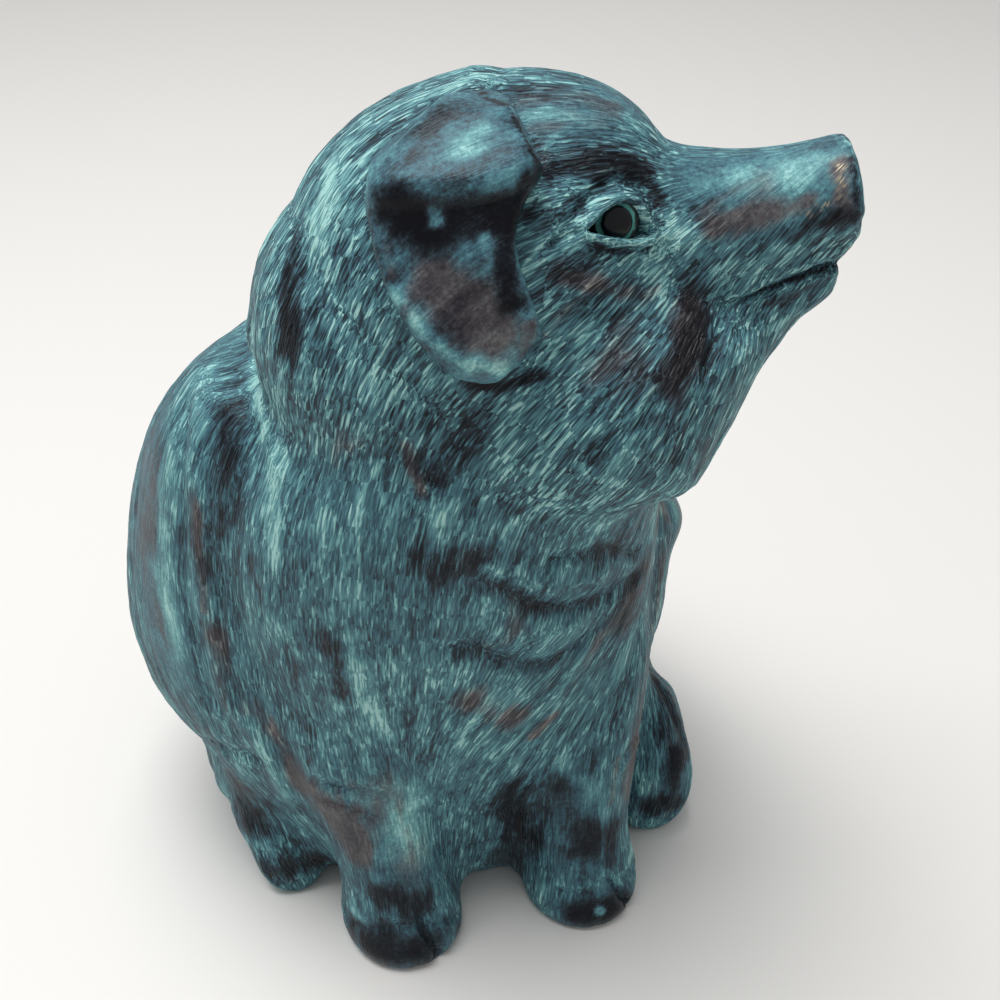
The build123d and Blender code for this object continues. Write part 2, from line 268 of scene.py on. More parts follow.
skin_tree = skin_surface()
OUTLINE_DEPTHS = np.linspace(0.18, 0.28, 21)


def on_skin(pixel):
    """The place, in mm, where the photograph shows the skin at a pixel, or the outline close to it."""
    ray = photo_ray(*pixel)
    hit = skin_tree.ray_cast(CAMERA_AT, ray)[0]
    if hit is None:
        beside = [skin_tree.find_nearest(CAMERA_AT + ray * float(depth)) for depth in OUTLINE_DEPTHS]
        hit = min(beside, key=lambda found: found[3])[0]
    return np.array(hit) / MM


def mirrored(places):
    """The same places on the other side of the head's middle plane."""
    return places - 2 * ((places - HEAD_CENTRE) @ head_right)[..., None] * head_right


def other_side(places, of_head):
    """The same places on the left of the head, or of the body, set on the skin."""
    across = mirrored(places) if of_head else places * (-1, 1, 1)
    return np.array([np.array(skin_tree.find_nearest(Vector(place * MM))[0]) / MM for place in across])


def skin_line(pixels, step=4):
    """A row of pixels laid on the skin as a row of places about half a millimetre apart."""
    pixels = np.array(pixels, dtype=float)
    lengths = np.linalg.norm(np.diff(pixels, axis=0), axis=1)
    distance = np.concatenate(((0,), np.cumsum(lengths)))
    at = np.linspace(0, distance[-1], max(2, int(distance[-1] / step)))
    filled = np.stack([np.interp(at, distance, column) for column in pixels.T], axis=1)
    return np.array([on_skin(pixel) for pixel in filled])


def measure(line, reach):
    """Numbers of the skin's points within reach of a line, and their distances from it."""
    low = line.min(axis=0) - reach
    high = line.max(axis=0) + reach
    near = np.nonzero(np.all((points > low) & (points < high), axis=1))[0]
    distance = np.full(len(near), np.inf)
    for place in line:
        distance = np.minimum(distance, np.sum(np.square(points[near] - place), axis=1))
    distance = np.sqrt(distance)
    close = distance < reach
    return near[close], distance[close]


def score(line, height, width):
    """Raise, or with a negative height press, the skin in a soft ridge along a line."""
    near, distance = measure(line, width * 2)
    points[near] += (height * bell(distance, width))[:, None] * normals[near]


def thumb(start, end, reach, share, stretch):
    """Push the skin seen at one pixel to where another shows, by each point's share, deeper by the stretch."""
    place = on_skin(start)
    depth = (Vector(place * MM) - CAMERA_AT).length
    start_ray = photo_ray(*start)
    end_ray = photo_ray(*end)
    shift = np.array(end_ray * (depth / end_ray.dot(start_ray)) - start_ray * depth) / MM
    offset = points - place
    along = offset @ np.array(start_ray)
    apart = np.sum(np.square(offset), axis=1) - np.square(along) + np.square(along / stretch)
    points[:] += (share * bell(np.sqrt(apart), reach))[:, None] * shift
    return place, shift


def rounded(outline):
    """An outline of pixels with its corners cut twice."""
    corners = np.array(outline, dtype=float)
    for _ in range(2):
        after = np.roll(corners, -1, axis=0)
        corners = np.stack((0.75 * corners + 0.25 * after, 0.25 * corners + 0.75 * after), axis=1).reshape(-1, 2)
    return corners


def inside_by(outline, places):
    """How far inside an outline of pixels places show, in pixels, negative outside it."""
    seen = photo_pixels(places)
    inside = np.zeros(len(seen), dtype=bool)
    apart = np.full(len(seen), np.inf)
    for start, end in zip(outline, np.roll(outline, -1, axis=0)):
        run = end - start
        crosses = (start[1] > seen[:, 1]) != (end[1] > seen[:, 1])
        inside ^= crosses & (seen[:, 0] < run[0] * (seen[:, 1] - start[1]) / (run[1] or 1e-9) + start[0])
        along = np.clip(((seen - start) @ run) / (run @ run), 0, 1)
        apart = np.minimum(apart, np.linalg.norm(seen - start - along[:, None] * run, axis=1))
    return np.where(inside, apart, -apart)


# The body is drawn in or out to the modeller's outline: the haunch above the hind foot, the jaw, the lip.
BODY_PUSHES = {
    "haunch": ((186, 743), (200, 736), 9),
    "thigh": ((203, 768), (212, 763), 7),
    "throat": ((675, 497), (692, 501), 8.5),
    "under_jowl": ((667, 514), (687, 512), 7),
    "left_notch": ((664, 659), (650, 661), 6),
    "crown": ((490, 86), (488, 74), 9),
    "hind_foot": ((256, 856), (266, 848), 9),
    "jaw_root": ((742, 335), (765, 342), 8),
    "lip_corner": ((858, 244), (850, 236), 6),
}
PUSH_STRETCH = 2.5
for start, end, reach in BODY_PUSHES.values():
    thumb(start, end, reach, (~is_ear).astype(float), PUSH_STRETCH)

# The jowl was a ball set on the cheek, and the brow another on the skull: the hollows round them are
# filled, the neck under the jaw is eased and the torso's rim behind the neck is rounded off.
EASED_EDGES = {
    "jowl": (((545, 392), (590, 352), (640, 322), (690, 300), (735, 308), (752, 330)), 11, 220),
    "brow": (((560, 120), (590, 165), (625, 175), (660, 160), (690, 158)), 9, 120),
    "throat": (((645, 503), (672, 499)), 8, 160),
    "mouth": (((742, 303), (775, 289), (805, 277), (836, 266)), 5, 160),
}
BACK_RIM_CENTRE = (-7, -12.3, 102)
BACK_RIM_HALF = (30.9, 25)
BACK_RIM_TURN = (25, 150)
BACK_RIM_REACH = 9
BACK_RIM_ROUNDS = 200
for pixels, reach, rounds in EASED_EDGES.values():
    right_line = skin_line(pixels)
    for line in (right_line, other_side(right_line, True)):
        near, distance = measure(line, reach * 1.6)
        ease = np.zeros(len(points))
        ease[near] = 0.5 * bell(distance, reach)
        ease[is_ear] = 0
        points = relax(points, ease, rounds)
turn = np.radians(np.linspace(*BACK_RIM_TURN, 60))
back_rim = np.stack((np.cos(turn) * BACK_RIM_HALF[0], np.sin(turn) * BACK_RIM_HALF[1], 0 * turn), axis=1) + BACK_RIM_CENTRE
near, distance = measure(back_rim, BACK_RIM_REACH * 1.6)
ease = np.zeros(len(points))
ease[near] = 0.5 * bell(distance, BACK_RIM_REACH)
points = relax(points, ease, BACK_RIM_ROUNDS)
normals = skin_normals()
skin_tree = skin_surface()

# The snout ends in a disc with a soft rim, into which two nostrils are pressed.
RIM_EASED = (45, 51)
RIM_ROUNDS = 90
NOSTRIL_AT = np.array((53, 3.2, 0.8))
NOSTRIL_DEPTH = 2.4
NOSTRIL_WIDTH = 1.7
ahead = (points - HEAD_CENTRE) @ head_ahead
points = relax(points, 0.5 * smooth_step(*RIM_EASED, ahead), RIM_ROUNDS)
normals = skin_normals()
skin_tree = skin_surface()
nostril = HEAD_CENTRE + NOSTRIL_AT @ head_axes
for place in (nostril, mirrored(nostril)):
    place = np.array(skin_tree.find_nearest(Vector(place * MM))[0]) / MM
    score(place[None], -NOSTRIL_DEPTH, NOSTRIL_WIDTH)
normals = skin_normals()
skin_tree = skin_surface()

# The ears fold over at a ridge and hang as scooped flaps with a rolled hem and a pointed front corner.
# Their roots stand a step above the crown, with a tooled line round them.
EAR_PUSHES = {
    "front_corner": ((514, 166), (531, 164), 5.5),
    "front_hollow": ((523, 246), (506, 243), 6.5),
    "hem": ((500, 383), (500, 368), 7),
    "tip": ((532, 368), (534, 350), 4.5),
}
EAR_ROOT = (
    (470, 83), (483, 83), (505, 103), (522, 134), (537, 166), (505, 200), (440, 215), (372, 215),
    (371, 199), (379, 172), (405, 137), (440, 103),
)
EAR_STEP = 1.7
EAR_STEP_WIDTH = 1.1
HIDDEN_ROOT = (9, 15)
EAR_LINES = {
    "ridge": (((380, 196), (415, 189), (455, 187), (495, 180), (530, 168)), 0.9, 3.2),
    "front": (((531, 172), (519, 200), (508, 238), (509, 262), (517, 303), (533, 336)), 0.5, 2.0),
    "hem": (((380, 250), (389, 286), (420, 330), (462, 362), (492, 369), (526, 358)), 0.6, 2.2),
    "scoop": (((425, 262), (455, 295), (485, 325)), -1.5, 6.5),
    "root_rear": (((366, 200), (374, 170), (401, 134), (436, 100), (466, 81)), -0.25, 1.2),
    "root_front": (((487, 80), (510, 101), (527, 132), (541, 162)), -0.5, 1.1),
}
ROOT_DRESSED = ((398, 138), (425, 106), (452, 88))
LEFT_EAR_DROP = 3.0
right_share = relax((owner == RIGHT_EAR).astype(float)[:, None], 0.5 * everywhere, 3)[:, 0]
left_share = relax((owner == LEFT_EAR).astype(float)[:, None], 0.5 * everywhere, 3)[:, 0]
for start, end, reach in EAR_PUSHES.values():
    place, shift = thumb(start, end, reach, right_share, 1)
    shift = shift - 2 * (shift @ head_right) * head_right
    weight = left_share * bell(np.linalg.norm(points - mirrored(place), axis=1), reach)
    points += weight[:, None] * shift
points -= (LEFT_EAR_DROP * left_share)[:, None] * head_up
normals = skin_normals()
skin_tree = skin_surface()
to_right = (points - HEAD_CENTRE) @ head_right
folded = np.where(to_right[:, None] < 0, mirrored(points), points)
ear_place = on_skin((450, 150))
near = np.nonzero((np.linalg.norm(folded - ear_place, axis=1) < 30) & (np.abs(to_right) > 4))[0]
pixel_size = np.linalg.norm(ear_place - np.array(CAMERA_AT) / MM) / FOCAL_PIXELS
depth_inside = inside_by(rounded(EAR_ROOT), folded[near]) * pixel_size
upper = smooth_step(0, 30, 215 - photo_pixels(folded[near])[:, 1])
shown = np.where(to_right[near] < 0, smooth_step(*HIDDEN_ROOT, -to_right[near]), 1)
step = EAR_STEP * shown * upper * smooth_step(-0.3, EAR_STEP_WIDTH, depth_inside)
points[near] += step[:, None] * normals[near]
normals = skin_normals()
for pixels, height, width in EAR_LINES.values():
    right_line = skin_line(pixels)
    score(right_line, height, width)
    score(other_side(right_line, True) - LEFT_EAR_DROP * head_up, height, width)
right_line = skin_line(ROOT_DRESSED)
for line in (right_line, other_side(right_line, True)):
    near, distance = measure(line, 6)
    ease = np.zeros(len(points))
    ease[near] = 0.5 * bell(distance, 3)
    points = relax(points, ease, 50)
normals = skin_normals()
skin_tree = skin_surface()

# The face: lids cut round each eye's socket, the mouth drawn between its lips, folds at its corner and a
# rim round the snout's disc. The left side mirrors the right about the head's middle plane.
EYE_OPENING = (
    (579, 233), (590, 221), (603, 209), (616, 202), (629, 202), (641, 208),
    (650, 220), (655, 234), (646, 241), (630, 243), (613, 241), (596, 237),
)
LID_HEIGHT = 1.0
LID_WIDTH = 2.6
SOCKET_DEPTH = 2.2
to_right = (points - HEAD_CENTRE) @ head_right
folded = np.where(to_right[:, None] < 0, mirrored(points), points)
eye_place = on_skin((620, 222))
near = np.nonzero(np.linalg.norm(folded - eye_place, axis=1) < 13)[0]
pixel_size = np.linalg.norm(eye_place - np.array(CAMERA_AT) / MM) / FOCAL_PIXELS
depth_inside = inside_by(rounded(EYE_OPENING), folded[near]) * pixel_size
lid = LID_HEIGHT * bell(np.maximum(-depth_inside, 0), LID_WIDTH)
socket = (SOCKET_DEPTH + LID_HEIGHT) * smooth_step(0, 1.1, depth_inside)
points[near] += (lid - socket)[:, None] * normals[near]
normals = skin_normals()
skin_tree = skin_surface()
FACE_LINES = {
    "upper_lid_fold": (((566, 229), (580, 208), (596, 189), (616, 178), (636, 184), (653, 203), (663, 228)), -0.6, 1.2),
    "brow_ridge": (((552, 214), (575, 185), (600, 168), (630, 161), (655, 178)), 0.6, 3.0),
    "lower_lid": (((585, 236), (598, 241), (614, 245), (634, 246), (652, 241)), 0.4, 0.9),
    "below_lid": (((592, 246), (606, 252), (626, 254), (648, 250)), -0.7, 1.4),
    "rear_corner": (((581, 233), (570, 237), (554, 241)), -0.5, 1.0),
    "front_corner": (((654, 235), (664, 243), (671, 254)), -0.35, 1.1),
    "mouth": (((727, 304), (745, 297), (770, 288), (800, 276), (830, 266)), -0.6, 0.8),
    "mouth_opening": (((812, 272), (828, 267), (842, 264)), -1.0, 1.0),
    "upper_lip": (((735, 293), (770, 279), (800, 267), (836, 254)), 0.4, 1.8),
    "lower_lip": (((745, 306), (775, 296), (805, 284), (836, 271)), 0.35, 1.4),
    "mouth_corner": (((727, 303), (721, 318), (716, 340), (706, 366)), -0.5, 1.7),
    "cheek_fold": (((668, 262), (676, 290), (700, 300)), -0.25, 2.0),
}
for pixels, height, width in FACE_LINES.values():
    line = skin_line(pixels, 2)
    score(line, height, width)
    score(other_side(line, True), height, width)
normals = skin_normals()

# Body folds: the shoulder's raised back edge, throat and chest rolls, wrinkles at the elbow, the edge of
# the mane on the nape, the fold above the hind foot, the hooves' upper edges and their clefts.
BODY_LINES = {
    "shoulder_edge": (((199, 405), (194, 465), (197, 531), (202, 600), (226, 697), (260, 743), (290, 793)), 0.9, 3.4),
    "behind_shoulder": (((186, 410), (181, 470), (184, 535), (190, 604), (212, 700)), -0.7, 3.0),
    "mane_edge": (((250, 322), (255, 376), (266, 426), (280, 470)), 0.6, 2.6),
    "roll_one": (((553, 562), (600, 551), (637, 553)), -0.7, 2.2),
    "roll_two": (((488, 584), (503, 588), (523, 604), (564, 611), (606, 598), (634, 580)), -0.9, 2.4),
    "roll_three": (((447, 650), (478, 647), (504, 661), (543, 664), (576, 649), (600, 628)), -0.7, 2.4),
    "between_rolls": (((515, 578), (560, 588), (604, 575)), 0.4, 2.4),
    "under_rolls": (((480, 626), (530, 636), (580, 625)), 0.4, 2.6),
    "elbow_upper": (((312, 782), (345, 791), (384, 795)), -0.6, 1.3),
    "elbow_lower": (((318, 800), (345, 808), (372, 818)), -0.35, 1.3),
    "elbow_ridge": (((326, 808), (345, 816), (362, 824)), 0.35, 1.4),
    "jowl_crease": (((585, 462), (610, 446), (640, 424), (664, 402)), -0.5, 2.4),
    "hind_fold": (((206, 742), (232, 752), (262, 760)), -0.8, 2.6),
    "hind_knee": (((662, 690), (676, 722), (681, 732)), -0.4, 1.6),
    "scar": (((410, 486), (418, 493), (430, 494), (434, 485), (428, 476)), -0.25, 0.8),
    "right_hoof_edge": (((338, 906), (352, 922), (372, 927), (400, 925), (424, 930), (446, 918), (464, 912)), -0.4, 1.2),
    "right_cleft": (((420, 922), (432, 942), (444, 962)), -1.6, 1.3),
    "left_hoof_edge": (((560, 893), (573, 896), (595, 892), (613, 885), (626, 876), (638, 866)), -0.4, 1.2),
    "left_cleft": (((611, 880), (621, 893), (632, 908)), -1.5, 1.3),
    "hind_hoof_edge": (((684, 738), (668, 750), (660, 772), (664, 800)), -0.4, 1.4),
}
for pixels, height, width in BODY_LINES.values():
    line = skin_line(pixels, 3)
    score(line, height, width)
    if line[:, 0].mean() < -25:
        score(other_side(line, False), height, width)
normals = skin_normals()
skin_tree = skin_surface()

# Hair lies along these strokes, each from a pixel to a pixel, as the chasing tool ran.
HAIR_STROKES = (
    ((560, 95), (500, 88)), ((385, 128), (350, 160)), ((285, 235), (272, 285)), ((262, 270), (252, 310)),
    ((345, 235), (325, 280)), ((295, 330), (288, 380)), ((450, 350), (425, 385)), ((560, 355), (530, 395)),
    ((575, 280), (535, 285)), ((600, 320), (565, 350)), ((695, 330), (672, 375)), ((728, 400), (708, 440)),
    ((775, 245), (763, 270)), ((800, 285), (780, 305)), ((625, 135), (585, 125)), ((560, 180), (535, 195)),
    ((800, 165), (740, 172)), ((296, 400), (290, 440)), ((284, 490), (272, 535)), ((205, 540), (213, 600)),
    ((340, 495), (337, 540)), ((372, 640), (380, 690)), ((298, 620), (304, 670)), ((160, 505), (156, 560)),
    ((160, 620), (175, 665)), ((200, 385), (178, 430)), ((330, 800), (345, 850)), ((400, 800), (405, 850)),
    ((240, 790), (262, 840)), ((545, 490), (515, 520)), ((640, 520), (612, 560)), ((678, 455), (652, 495)),
    ((455, 605), (450, 650)), ((580, 605), (556, 635)), ((605, 655), (572, 685)), ((530, 735), (498, 755)),
    ((390, 745), (402, 785)), ((428, 575), (424, 615)), ((556, 790), (550, 850)), ((602, 760), (598, 810)),
    ((660, 700), (672, 760)), ((836, 155), (836, 205)),
)
HAIR_REACH = 11
flow = np.where(on_head[:, None], -head_ahead + (0, 0, -0.5), np.array((0, 0.25, -1.0))) * 0.08
for start, end in HAIR_STROKES:
    first = on_skin(start)
    second = on_skin(end)
    place = (first + second) / 2
    heading = (second - first) / np.linalg.norm(second - first)
    flow += np.exp(-np.sum(np.square(points - place), axis=1) / (2 * HAIR_REACH**2))[:, None] * heading
    of_head = on_head[np.argmin(np.sum(np.square(points - place), axis=1))]
    if of_head or place[0] < -12:
        across = head_right if of_head else np.array((1.0, 0, 0))
        place = mirrored(place) if of_head else place * (-1, 1, 1)
        heading = heading - 2 * (heading @ across) * across
        flow += np.exp(-np.sum(np.square(points - place), axis=1) / (2 * HAIR_REACH**2))[:, None] * heading
flow -= np.sum(flow * normals, axis=1)[:, None] * normals
flow = relax(flow, 0.5 * everywhere, 10)
flow -= np.sum(flow * normals, axis=1)[:, None] * normals
flow /= np.linalg.norm(flow, axis=1)[:, None] + 1e-9


def combed(grain, length, seed):
    """Noise of one grain size drawn out along the hair, at each point, with a mean of 0 and a spread of 1."""
    size = 64
    lattice = np.random.default_rng(seed).random((size, size, size))
    total = np.zeros(len(points))
    for shift in np.linspace(-length / 2, length / 2, round(2 * length / grain) + 1):
        place = (points + shift * flow) / grain
        cell = np.floor(place).astype(int)
        part = place - cell
        part = part * part * (3 - 2 * part)
        for corner in np.ndindex(2, 2, 2):
            share = np.where(corner, part, 1 - part)
            at = (cell + corner) % size
            total += share[:, 0] * share[:, 1] * share[:, 2] * lattice[at[:, 0], at[:, 1], at[:, 2]]
    return (total - total.mean()) / total.std()


# Patina, painted where the photograph shows it, and among it painted shade and painted sheen: each area is a half
# width in pixels, a strength and the pixels of its line. Areas on the head, and on the right flank, also go on the
# side that isn't seen. The hidden areas, in mm, carry the same finish round the back.
DARK_AREAS = {
    "nape": (20, 0.95, (296, 245), (286, 295), (288, 338)),
    "beside_nape": (18, 0.6, (318, 300), (326, 350)),
    # Painted shade on the neck under the ear flap, and the painted shadow that the ear's tip casts below it.
    "shade_below_ear": (42, 0.36, (405, 385), (440, 420), (452, 462)),
    "ear_tip_shadow": (9, 1.0, (470, 385), (505, 386), (540, 374)),
    "shoulder_blade": (24, 0.55, (232, 412), (228, 470), (222, 530)),
    "flank_low": (14, 0.5, (250, 560), (262, 600)),
    "flank_spot": (24, 0.75, (325, 645), (345, 660), (350, 690)),
    "chest_mark": (18, 0.7, (418, 462), (440, 478)),
    "chest_patch": (22, 0.75, (415, 560), (440, 575), (470, 560)),
    # Painted shade in the creases of the chest rolls.
    "roll_one": (12, 0.5, (553, 562), (600, 552), (636, 556)),
    "roll_two": (16, 0.6, (498, 586), (523, 605), (564, 611), (604, 600)),
    "roll_three": (16, 0.5, (447, 650), (480, 648), (505, 662), (545, 664), (575, 650)),
    "brow": (16, 0.95, (540, 175), (580, 163), (620, 160), (645, 170)),
    "eye_rear": (12, 0.8, (530, 215), (560, 215), (580, 205)),
    "above_lid": (9, 0.9, (600, 180), (620, 168), (645, 178), (660, 200)),
    # Painted shade in the crease under the lower lid.
    "below_lid": (5, 1.0, (597, 246), (620, 252), (648, 249)),
    "cheek": (26, 1.1, (690, 310), (690, 345), (672, 385)),
    "under_eye": (20, 0.5, (560, 270), (600, 285), (640, 285)),
    "jowl_fold": (16, 0.6, (600, 452), (630, 430), (660, 408)),
    "snout_under": (12, 0.95, (790, 235), (825, 222), (852, 215)),
    "snout_edge": (5, 0.9, (852, 160), (856, 190), (857, 212)),
    "snout_side": (10, 0.5, (745, 255), (775, 240)),
    "mouth": (4, 1.0, (760, 291), (800, 276), (838, 264)),
    "jaw": (10, 0.6, (745, 300), (780, 300), (805, 290)),
    "ear_band": (23, 1.3, (392, 205), (430, 225), (475, 225), (515, 205)),
    "ear_front": (13, 1.2, (525, 178), (513, 215), (504, 260), (510, 300)),
    "ear_top": (20, 0.5, (440, 115), (410, 150)),
    "cheek_wash": (46, 0.5, (590, 310), (630, 380)),
    "eye_wash": (26, 0.45, (560, 250), (590, 265)),
    "left_leg_wash": (36, 0.6, (560, 790), (590, 840)),
    "left_hind_wash": (24, 0.45, (662, 700), (672, 780)),
    # Painted shadow along the ear's front root edge, where the ear stands over the forehead.
    "ear_root_shadow": (4, 1.0, (478, 80), (505, 102), (522, 132), (536, 160)),
    "forehead_mark": (6, 0.6, (520, 92), (545, 98)),
    # Painted shade in the gap between the forelegs, reaching onto the inner side of the left foreleg.
    "shade_between_legs": (30, 0.9, (505, 790), (510, 850)),
    "inner_leg_shade": (14, 0.7, (535, 830), (520, 870)),
    "right_hoof": (32, 1.0, (375, 950), (430, 955)),
    "right_shin": (22, 0.8, (385, 895), (420, 900)),
    "left_hoof": (22, 1.0, (580, 915), (625, 905)),
    "left_shin": (14, 0.7, (615, 820), (610, 860)),
    "right_hind": (22, 0.8, (235, 780), (255, 830)),
    "right_hind_toe": (18, 0.8, (275, 870), (315, 860)),
    "left_hind_hoof": (15, 1.0, (678, 755), (676, 785)),
    "left_hind_top": (10, 0.9, (655, 680), (670, 715)),
}
LIGHT_AREAS = {
    # The forehead, crown, ear_top, ear_top_rear and snout_top areas hold lighter verdigris together with painted sheen
    # where the overhead light falls on upward-facing surfaces.
    "forehead": (22, 0.55, (545, 120), (585, 115), (610, 105)),
    "crown": (16, 0.4, (400, 115), (440, 92), (500, 78)),
    "behind_ear": (24, 0.7, (330, 170), (320, 230), (330, 280)),
    "ear_top": (14, 0.75, (482, 128), (458, 156), (478, 150)),
    "ear_top_rear": (12, 0.5, (415, 140), (400, 160)),
    "ear_spot": (11, 1.2, (432, 212), (436, 222)),
    "ear_spot_front": (9, 0.9, (486, 236), (487, 258)),
    "snout_top": (24, 0.62, (700, 180), (760, 180), (815, 162)),
    "lip": (4, 0.6, (800, 272), (830, 258), (850, 246)),
    "snout_rim": (5, 1.0, (838, 138), (848, 142)),
    "eye_front": (15, 0.7, (668, 235), (685, 215), (690, 250)),
    "lower_lid": (3, 1.4, (588, 236), (600, 241), (620, 245), (640, 244), (651, 239)),
    "upper_lid": (7, 0.7, (585, 222), (597, 202), (615, 190)),
    "lid_front": (4, 1.0, (640, 208), (650, 222), (654, 234)),
    "below_eye_front": (14, 0.6, (650, 265), (660, 285)),
    "cheek_grey": (24, 0.5, (590, 330), (620, 340)),
    "ear_hem": (9, 0.9, (390, 290), (420, 330), (460, 362), (500, 370)),
    "mane": (11, 0.9, (252, 330), (255, 380), (264, 430)),
    "flank_column": (15, 0.95, (278, 440), (275, 500), (272, 560)),
    "flank_column_front": (10, 0.6, (310, 430), (312, 460)),
    "curved_band": (13, 0.95, (352, 640), (360, 690), (385, 735)),
    "below_scar": (11, 0.9, (425, 508), (440, 520)),
    "scar_tail": (9, 0.7, (440, 535), (455, 545)),
    "chest_curl": (7, 0.9, (487, 568), (500, 572)),
    "chest_strokes": (16, 0.6, (520, 520), (560, 505)),
    "barrel": (28, 0.66, (165, 470), (160, 560), (170, 640)),
    "back": (14, 0.5, (215, 365), (190, 400)),
    # Painted highlight running down the front of the right foreleg.
    "leg_front_highlight": (30, 0.95, (390, 795), (420, 850)),
    "left_leg": (14, 0.5, (560, 760), (590, 790)),
    "hoof_patch": (8, 1.0, (348, 905), (362, 920)),
    "hoof_dot": (5, 1.6, (599, 910), (601, 912)),
    "right_hind_patch": (8, 0.9, (246, 838), (258, 845)),
    "chest_foot": (20, 0.5, (470, 730), (500, 760)),
}
BROWN_AREAS = {
    "elbow": (26, 0.9, (300, 780), (335, 815), (355, 850)),
    "shoulder_edge": (8, 0.65, (198, 415), (194, 470), (198, 540), (203, 610)),
    "shoulder_low": (22, 0.6, (215, 640), (235, 690), (262, 725)),
    "ear_scoop": (32, 1.0, (430, 285), (465, 305), (500, 340)),
    "ear_tip": (13, 0.9, (528, 330), (522, 352)),
    "ear_rim": (10, 0.7, (387, 250), (394, 275)),
    "snout_side": (18, 1.0, (715, 228), (770, 215), (806, 204)),
    "snout_end": (14, 0.9, (840, 165), (842, 200)),
    "under_eye": (14, 0.7, (565, 275), (610, 290), (655, 290)),
    "cheek": (22, 0.8, (690, 310), (690, 345), (672, 385)),
    "chest_rub": (9, 1.3, (535, 735), (555, 715)),
    "chest_middle": (24, 0.7, (470, 700), (520, 720)),
    "throat_edge": (12, 0.7, (640, 590), (600, 640), (560, 700)),
    "left_leg_edge": (9, 0.8, (618, 760), (612, 800)),
    "scar": (9, 0.7, (405, 445), (420, 490)),
    "flank_grey": (13, 0.5, (352, 450), (370, 440)),
    "barrel": (36, 0.4, (150, 490), (150, 560), (165, 640)),
    "forehead": (34, 0.4, (545, 118), (585, 112), (620, 105)),
    "cheek_wash": (46, 0.4, (590, 320), (640, 390)),
    "chest_wash": (46, 0.3, (480, 560), (530, 680)),
    "leg_wash": (36, 0.45, (375, 800), (405, 865)),
    "snout_top": (26, 0.35, (700, 180), (760, 180), (815, 162)),
}
RUBBED_AREAS = {
    "snout": (6, 0.95, (842, 166), (839, 196)),
    "snout_low": (6, 0.95, (826, 203), (811, 214)),
    "hind_sole": (6, 0.6, (272, 876), (300, 884)),
}
PLAIN_AREAS = {
    "ear_top": (34, 0.85, (475, 115), (430, 150), (500, 150)),
    "snout_top": (34, 1.1, (700, 178), (760, 172), (830, 158)),
    "snout_side": (26, 1.0, (735, 215), (800, 202), (838, 185)),
    "forehead": (34, 0.8, (540, 118), (585, 112), (620, 105)),
    "barrel": (36, 0.95, (150, 480), (148, 560), (165, 650)),
    "right_foreleg": (44, 0.75, (380, 800), (400, 870)),
    "left_foreleg": (36, 0.75, (575, 800), (580, 860)),
    "ear_scoop": (34, 1.0, (425, 270), (465, 300), (505, 340)),
    "ear_band": (24, 0.9, (392, 205), (430, 225), (475, 225), (515, 205)),
    "ear_front": (13, 0.9, (525, 178), (513, 215), (504, 260), (510, 300)),
    "elbow": (24, 0.8, (300, 780), (335, 815), (355, 850)),
    "right_hoof": (34, 1.0, (375, 950), (430, 955)),
    "left_hoof": (24, 1.0, (580, 915), (625, 905)),
    "left_hind_hoof": (15, 1.0, (678, 755), (676, 785)),
    "snout_end": (9, 0.9, (845, 150), (850, 190), (850, 225)),
}
HIDDEN_DARK = {
    "spine": (6, 0.7, (3, 20, 98), (2, 36, 80), (0, 42, 62)),
    "left_hip": (9, 0.75, (38, 22, 45), (36, 28, 28)),
    "right_hip": (8, 0.6, (-36, 26, 50), (-34, 30, 30)),
    "left_shoulder": (7, 0.65, (44, -8, 72), (47, -4, 52)),
    "tail": (4, 0.9, (2, 44, 30), (10, 44, 30)),
    "rump": (8, 0.55, (14, 42, 20), (-8, 42, 14)),
}
HIDDEN_LIGHT = {
    "back_left": (7, 0.7, (20, 34, 78), (26, 38, 58)),
    "back_right": (6, 0.6, (-16, 38, 72), (-20, 40, 50)),
    "rump": (6, 0.6, (-14, 42, 36), (-22, 36, 22)),
}
HIDDEN_BROWN = {
    "tail": (5, 0.9, (2, 46, 36), (12, 46, 30), (2, 46, 25)),
    "back": (9, 0.6, (8, 30, 92), (14, 38, 74)),
    "left_hip": (7, 0.6, (40, 10, 30), (38, 18, 18)),
}


def painted(areas, hidden={}):
    """Strength from 0 up, at each point of the skin, of a coat laid on these areas and hidden ones in mm."""
    coat = np.zeros(len(points))
    for reach, strength, *places in hidden.values():
        filled = np.concatenate([np.linspace(*pair, 16) for pair in zip(np.array(places[:-1]), np.array(places[1:]))])
        line = np.array([np.array(skin_tree.find_nearest(Vector(place * MM))[0]) / MM for place in filled])
        near, distance = measure(line, reach * 2.4)
        coat[near] = np.maximum(coat[near], strength * bell(distance, reach * 1.5))
    for half_width, strength, *pixels in areas.values():
        line = skin_line(pixels, 5)
        depth = np.linalg.norm(line.mean(axis=0) - np.array(CAMERA_AT) / MM)
        reach = half_width * depth / FOCAL_PIXELS
        lines = [line]
        middle = np.argmin(np.sum(np.square(points - line[len(line) // 2]), axis=1))
        if on_head[middle] or line[:, 0].mean() < -22:
            lines.append(other_side(line, on_head[middle]))
        for run in lines:
            near, distance = measure(run, reach * 2.4)
            coat[near] = np.maximum(coat[near], strength * bell(distance, reach * 1.5))
    return coat


broad = combed(3.2, 22, 3)
mottle = combed(6.5, 0, 7) + 0.6 * combed(2.8, 0, 9)
ragged = 0.1 * broad + 0.1 * combed(1.2, 7, 5)
